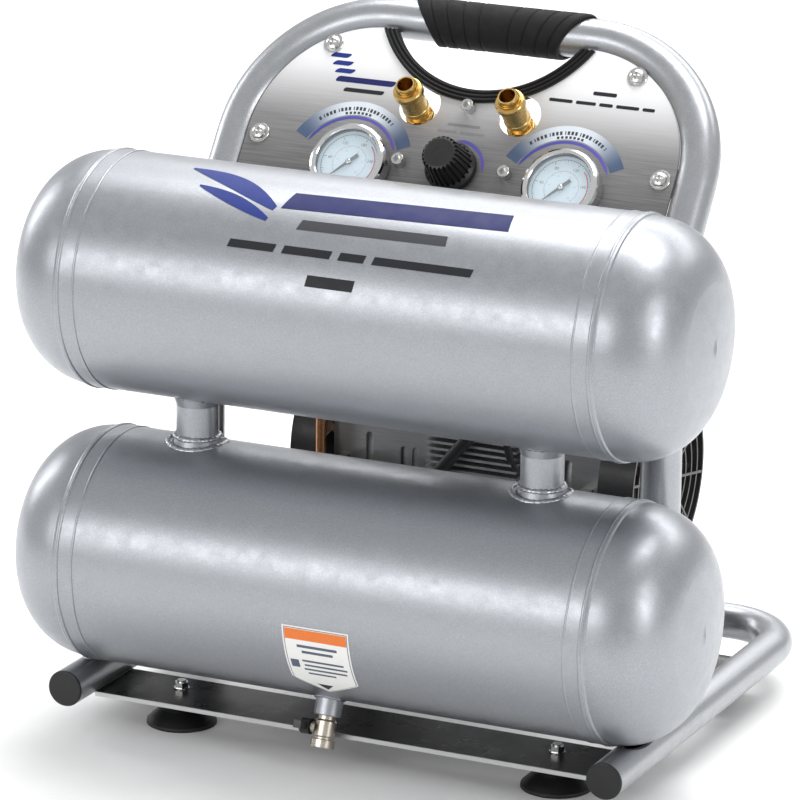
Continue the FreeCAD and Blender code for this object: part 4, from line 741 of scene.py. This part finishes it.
# ------------------------------------------------------------------ drain label
def label_poly(poly, off, nx=28, nt=22, y_axis=LOW, inset=0.0):
    """A filled label outline on the lower tank: poly gives, for an angle, the left and right edge."""
    t_top, t_bot, edges = poly
    vs, fs = [], []
    for j in range(nt + 1):
        t = t_top + (t_bot - t_top) * j / nt
        x0, x1 = edges(t)
        for i in range(nx + 1):
            x = x0 + (x1 - x0) * i / nx
            a = math.radians(t)
            vs.append(W(x, y_axis[0] - (R + off) * math.cos(a), y_axis[1] + (R + off) * math.sin(a)))
    for j in range(nt):
        for i in range(nx):
            k = j * (nx + 1) + i
            fs.append((k, k + 1, k + nx + 2, k + nx + 1))
    return vs, fs


def pent(inset):
    def edges(t):
        x0, x1, mid = -21.8 + inset, 26.4 - inset, 0.5
        t_sh, t_tip = -38.6, -49.7 + inset * 0.7
        if t > t_sh:
            return x0, x1
        f = min(1.0, (t_sh - t) / (t_sh - t_tip))
        return x0 + (mid - 0.3 - x0) * f, x1 + (mid + 0.3 - x1) * f
    return -6.6 - inset * 0.7, -49.6 + inset * 0.7, edges


b = Bag()
b.add(*label_poly(pent(0.0), 0.20, nt=30))
b.make("drain_label_sheet", M["label_white"], smooth=True)
b = Bag()
b.add(*label_poly(pent(1.1), 0.26, nt=30))
b.make("drain_label_line", M["ink_dial"], smooth=True)
b = Bag()
b.add(*label_poly(pent(1.6), 0.32, nt=30))
b.make("drain_label_field", M["label_white"], smooth=True)
b = Bag()
tank_patch(b, LOW, ((-20.0, -13.6), (24.6, -13.6), (24.6, -8.0), (-20.0, -8.0)), nu=14, nv=3, off=0.40)
b.make("drain_label_band", M["label_orange"], smooth=True)
b = Bag()
for t, x0, x1, h in ((-17.0, -12.0, 17.0, 1.5), (-20.2, -9.0, 13.5, 1.5), (-25.6, -10.0, 20.0, 1.2), (-28.4, -9.0, 22.0, 1.2),
                     (-31.2, -10.0, 21.0, 1.2), (-34.0, -8.0, 12.0, 1.2)):
    tank_patch(b, LOW, ((x0, t - h / 2), (x1, t - h / 2), (x1, t + h / 2), (x0, t + h / 2)), nu=8, nv=1, off=0.40)
b.make("drain_label_lines", M["ink_dial"], smooth=True)
b = Bag()


def tri(bag, pts, off):
    n = 8
    vs, fs = [], []
    for j in range(n + 1):
        f = j / n
        l = (pts[0][0] + (pts[2][0] - pts[0][0]) * f, pts[0][1] + (pts[2][1] - pts[0][1]) * f)
        r_ = (pts[1][0] + (pts[2][0] - pts[1][0]) * f, pts[1][1] + (pts[2][1] - pts[1][1]) * f)
        for i in range(n + 1):
            x = l[0] + (r_[0] - l[0]) * i / n
            t = l[1] + (r_[1] - l[1]) * i / n
            a = math.radians(t)
            vs.append(W(x, LOW[0] - (R + off) * math.cos(a), LOW[1] + (R + off) * math.sin(a)))
    for j in range(n):
        for i in range(n):
            k = j * (n + 1) + i
            fs.append((k, k + 1, k + n + 2, k + n + 1))
    bag.add(vs, fs)


tri(b, ((-5.0, -42.2), (6.4, -42.2), (0.7, -47.0)), 0.42)
b.make("drain_label_arrow", M["needle"], smooth=True)
b = Bag()
tank_patch(b, LOW, ((-18.6, -30.5), (-12.6, -30.5), (-12.6, -25.5), (-18.6, -25.5)), nu=6, nv=3, off=0.40)
b.make("drain_label_square", M["ink_dial"], smooth=True)


# ------------------------------------------------------------------ gauge dials
def numerals(name, items, size, mat, d):
    """Small dial numbers, as flat mesh."""
    bag = Bag()
    for text, x, s in items:
        cu = bpy.data.curves.new("tmp_text", "FONT")
        cu.body = text
        cu.size = size * MM
        cu.align_x, cu.align_y = "CENTER", "CENTER"
        cu.resolution_u = 3
        ob = bpy.data.objects.new("tmp_text", cu)
        bpy.context.scene.collection.objects.link(ob)
        dg = bpy.context.evaluated_depsgraph_get()
        me = bpy.data.meshes.new_from_object(ob.evaluated_get(dg))
        base = P(x, s, d)
        vs = [base + Vector((1, 0, 0)) * v.co.x + UPV * v.co.y for v in me.vertices]
        bag.add(vs, [tuple(p.vertices) for p in me.polygons])
        bpy.data.objects.remove(ob)
        bpy.data.meshes.remove(me)
        bpy.data.curves.remove(cu)
    return bag.make(name, mat)


def pol(cx, cs, r, deg):
    return cx + r * math.cos(math.radians(deg)), cs + r * math.sin(math.radians(deg))


DIAL_D = 7.06
for s, side, top in ((-1, "left", 300), (1, "right", 200)):
    lo_d, hi_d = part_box("tank_gauge_needle" if s < 0 else "line_gauge_needle")
    cx, cs = 78.0 * s + 5.5, -16.4
    b = Bag()
    sector(b, cx, cs, 20.3, 20.7, -45, 225, n=120, d=DIAL_D)
    for k in range(51):
        a = math.radians(225 - 5.4 * k)
        r0, r1, w = (17.9, 20.5, 0.22) if k % 10 == 0 else ((18.8, 20.5, 0.16) if k % 5 == 0 else (19.4, 20.5, 0.11))
        ca, sa = math.cos(a), math.sin(a)
        q = [(cx + r0 * ca + w * sa, cs + r0 * sa - w * ca), (cx + r1 * ca + w * sa, cs + r1 * sa - w * ca),
             (cx + r1 * ca - w * sa, cs + r1 * sa + w * ca), (cx + r0 * ca - w * sa, cs + r0 * sa + w * ca)]
        b.add([P(x, y, DIAL_D + 0.03) for x, y in q], [(0, 1, 2, 3)])
    b.make("dial_scale_%s" % side, M["ink_dial"])
    b = Bag()
    sector(b, cx, cs, 12.2, 12.45, -45, 225, n=90, d=DIAL_D)
    for k in range(46):
        a = math.radians(225 - 6.0 * k)
        r0, r1, w = (10.9, 12.3, 0.16) if k % 5 == 0 else (11.6, 12.3, 0.09)
        ca, sa = math.cos(a), math.sin(a)
        q = [(cx + r0 * ca + w * sa, cs + r0 * sa - w * ca), (cx + r1 * ca + w * sa, cs + r1 * sa - w * ca),
             (cx + r1 * ca - w * sa, cs + r1 * sa + w * ca), (cx + r0 * ca - w * sa, cs + r0 * sa + w * ca)]
        b.add([P(x, y, DIAL_D + 0.03) for x, y in q], [(0, 1, 2, 3)])
    b.make("dial_inner_scale_%s" % side, M["ink_pale"])
    b = Bag()
    sector(b, cx, cs, 18.0, 18.9, -45, 45, n=48, d=DIAL_D + 0.06)
    b.make("dial_red_arc_%s" % side, M["ink_red"])
    items = [(str(top * k // 5), *pol(cx, cs, 15.2, 225 - 54 * k)) for k in range(6)]
    numerals("dial_numbers_%s" % side, items, 3.1, M["ink_dial"], DIAL_D + 0.05)
    items = [(str(4 * k), *pol(cx, cs, 9.2, 225 - 54 * k)) for k in range(6)]
    numerals("dial_inner_numbers_%s" % side, items, 2.0, M["ink_pale"], DIAL_D + 0.05)
    # hub cap on the pointer
    bag = Bag()
    rings = [(0.0, 10.05), (0.7, 10.0), (1.3, 9.8), (1.75, 9.45), (1.9, 9.35)]
    bag.grid(lambda u, v, c=(cx, cs): P(c[0] + (1.9 * v) * math.cos(2 * math.pi * u), c[1] + (1.9 * v) * math.sin(2 * math.pi * u),
                                       9.32 + 0.75 * math.sqrt(max(0.0, 1 - v * v))), 28, 6, close_u=True)
    bag.make("pointer_cap_%s" % side, M["zinc"], body="tank_needle" if s < 0 else "line_needle", smooth=True)

# ------------------------------------------------------------------ floor, light, camera
floor_m = Paint("pale_floor", (0.92, 0.92, 0.92), rough=0.7, tint=0.01, grain=30.0, bump=0.0, patch=0.0).done()
bm = bmesh.new()
S_ = 6.0
prof = [(-S_ + 2 * S_ * t / 12, 0.0) for t in range(13)]
rows = []
for y, z in prof:
    rows.append([bm.verts.new((x, y, z - 0.0002)) for x in (-S_, S_)])
for a, c in zip(rows, rows[1:]):
    f = bm.faces.new((a[0], a[1], c[1], c[0]))
    f.smooth = True
me = bpy.data.meshes.new("floor_sweep")
bm.to_mesh(me)
bm.free()
me.materials.append(floor_m)
floor = bpy.data.objects.new("floor_sweep", me)
bpy.context.scene.collection.objects.link(floor)


def area(name, loc, target, size, size_y, power, color=(1, 1, 1)):
    li = bpy.data.lights.new(name, "AREA")
    li.shape = "RECTANGLE"
    li.size, li.size_y = size, size_y
    li.energy = power
    li.color = color
    ob = bpy.data.objects.new(name, li)
    ob.location = loc
    d = Vector(target) - Vector(loc)
    ob.rotation_euler = d.to_track_quat("-Z", "Y").to_euler()
    bpy.context.scene.collection.objects.link(ob)
    return ob


area("soft_front", (-0.9, -2.9, 1.25), (0, -0.1, 0.25), 2.4, 0.9, 27.0)
area("soft_top", (0.1, 0.5, 2.3), (0, 0, 0.2), 2.4, 0.9, 46.0)
area("soft_right", (2.4, -0.9, 1.1), (0, 0, 0.25), 0.5, 1.3, 14.0)
area("soft_left", (-2.3, 0.4, 1.1), (0, 0, 0.25), 0.5, 1.3, 12.0)
area("soft_back_floor", (0.4, 3.4, 2.6), (0.4, 3.41, 0.0), 5.0, 2.2, 120.0)
world = bpy.data.worlds.new("studio")
world.use_nodes = True
world.node_tree.nodes["Background"].inputs["Color"].default_value = (1, 1, 1, 1)
world.node_tree.nodes["Background"].inputs["Strength"].default_value = 0.66
bpy.context.scene.world = world
bpy.context.scene.view_settings.view_transform = "Standard"

az, el, roll, dist = math.radians(25.03), math.radians(16.08), math.radians(0.7), 3.31836
fw = Vector((-math.sin(az) * math.cos(el), math.cos(az) * math.cos(el), -math.sin(el)))
target = Vector((0.02425, -0.1086, 0.24401 + LIFT * MM))
rt = Vector((math.cos(az), math.sin(az), 0))
up = rt.cross(fw)
rt2 = rt * math.cos(roll) + up * math.sin(roll)
up2 = -rt * math.sin(roll) + up * math.cos(roll)
cam_d = bpy.data.cameras.new("camera")
cam_d.sensor_width = 36.0
cam_d.lens = 228.68
cam_d.clip_start, cam_d.clip_end = 0.05, 60.0
cam = bpy.data.objects.new("camera", cam_d)
mat4 = Matrix((rt2, up2, -fw)).transposed().to_4x4()
mat4.translation = target - fw * dist
cam.matrix_world = mat4
bpy.context.scene.collection.objects.link(cam)
bpy.context.scene.camera = cam
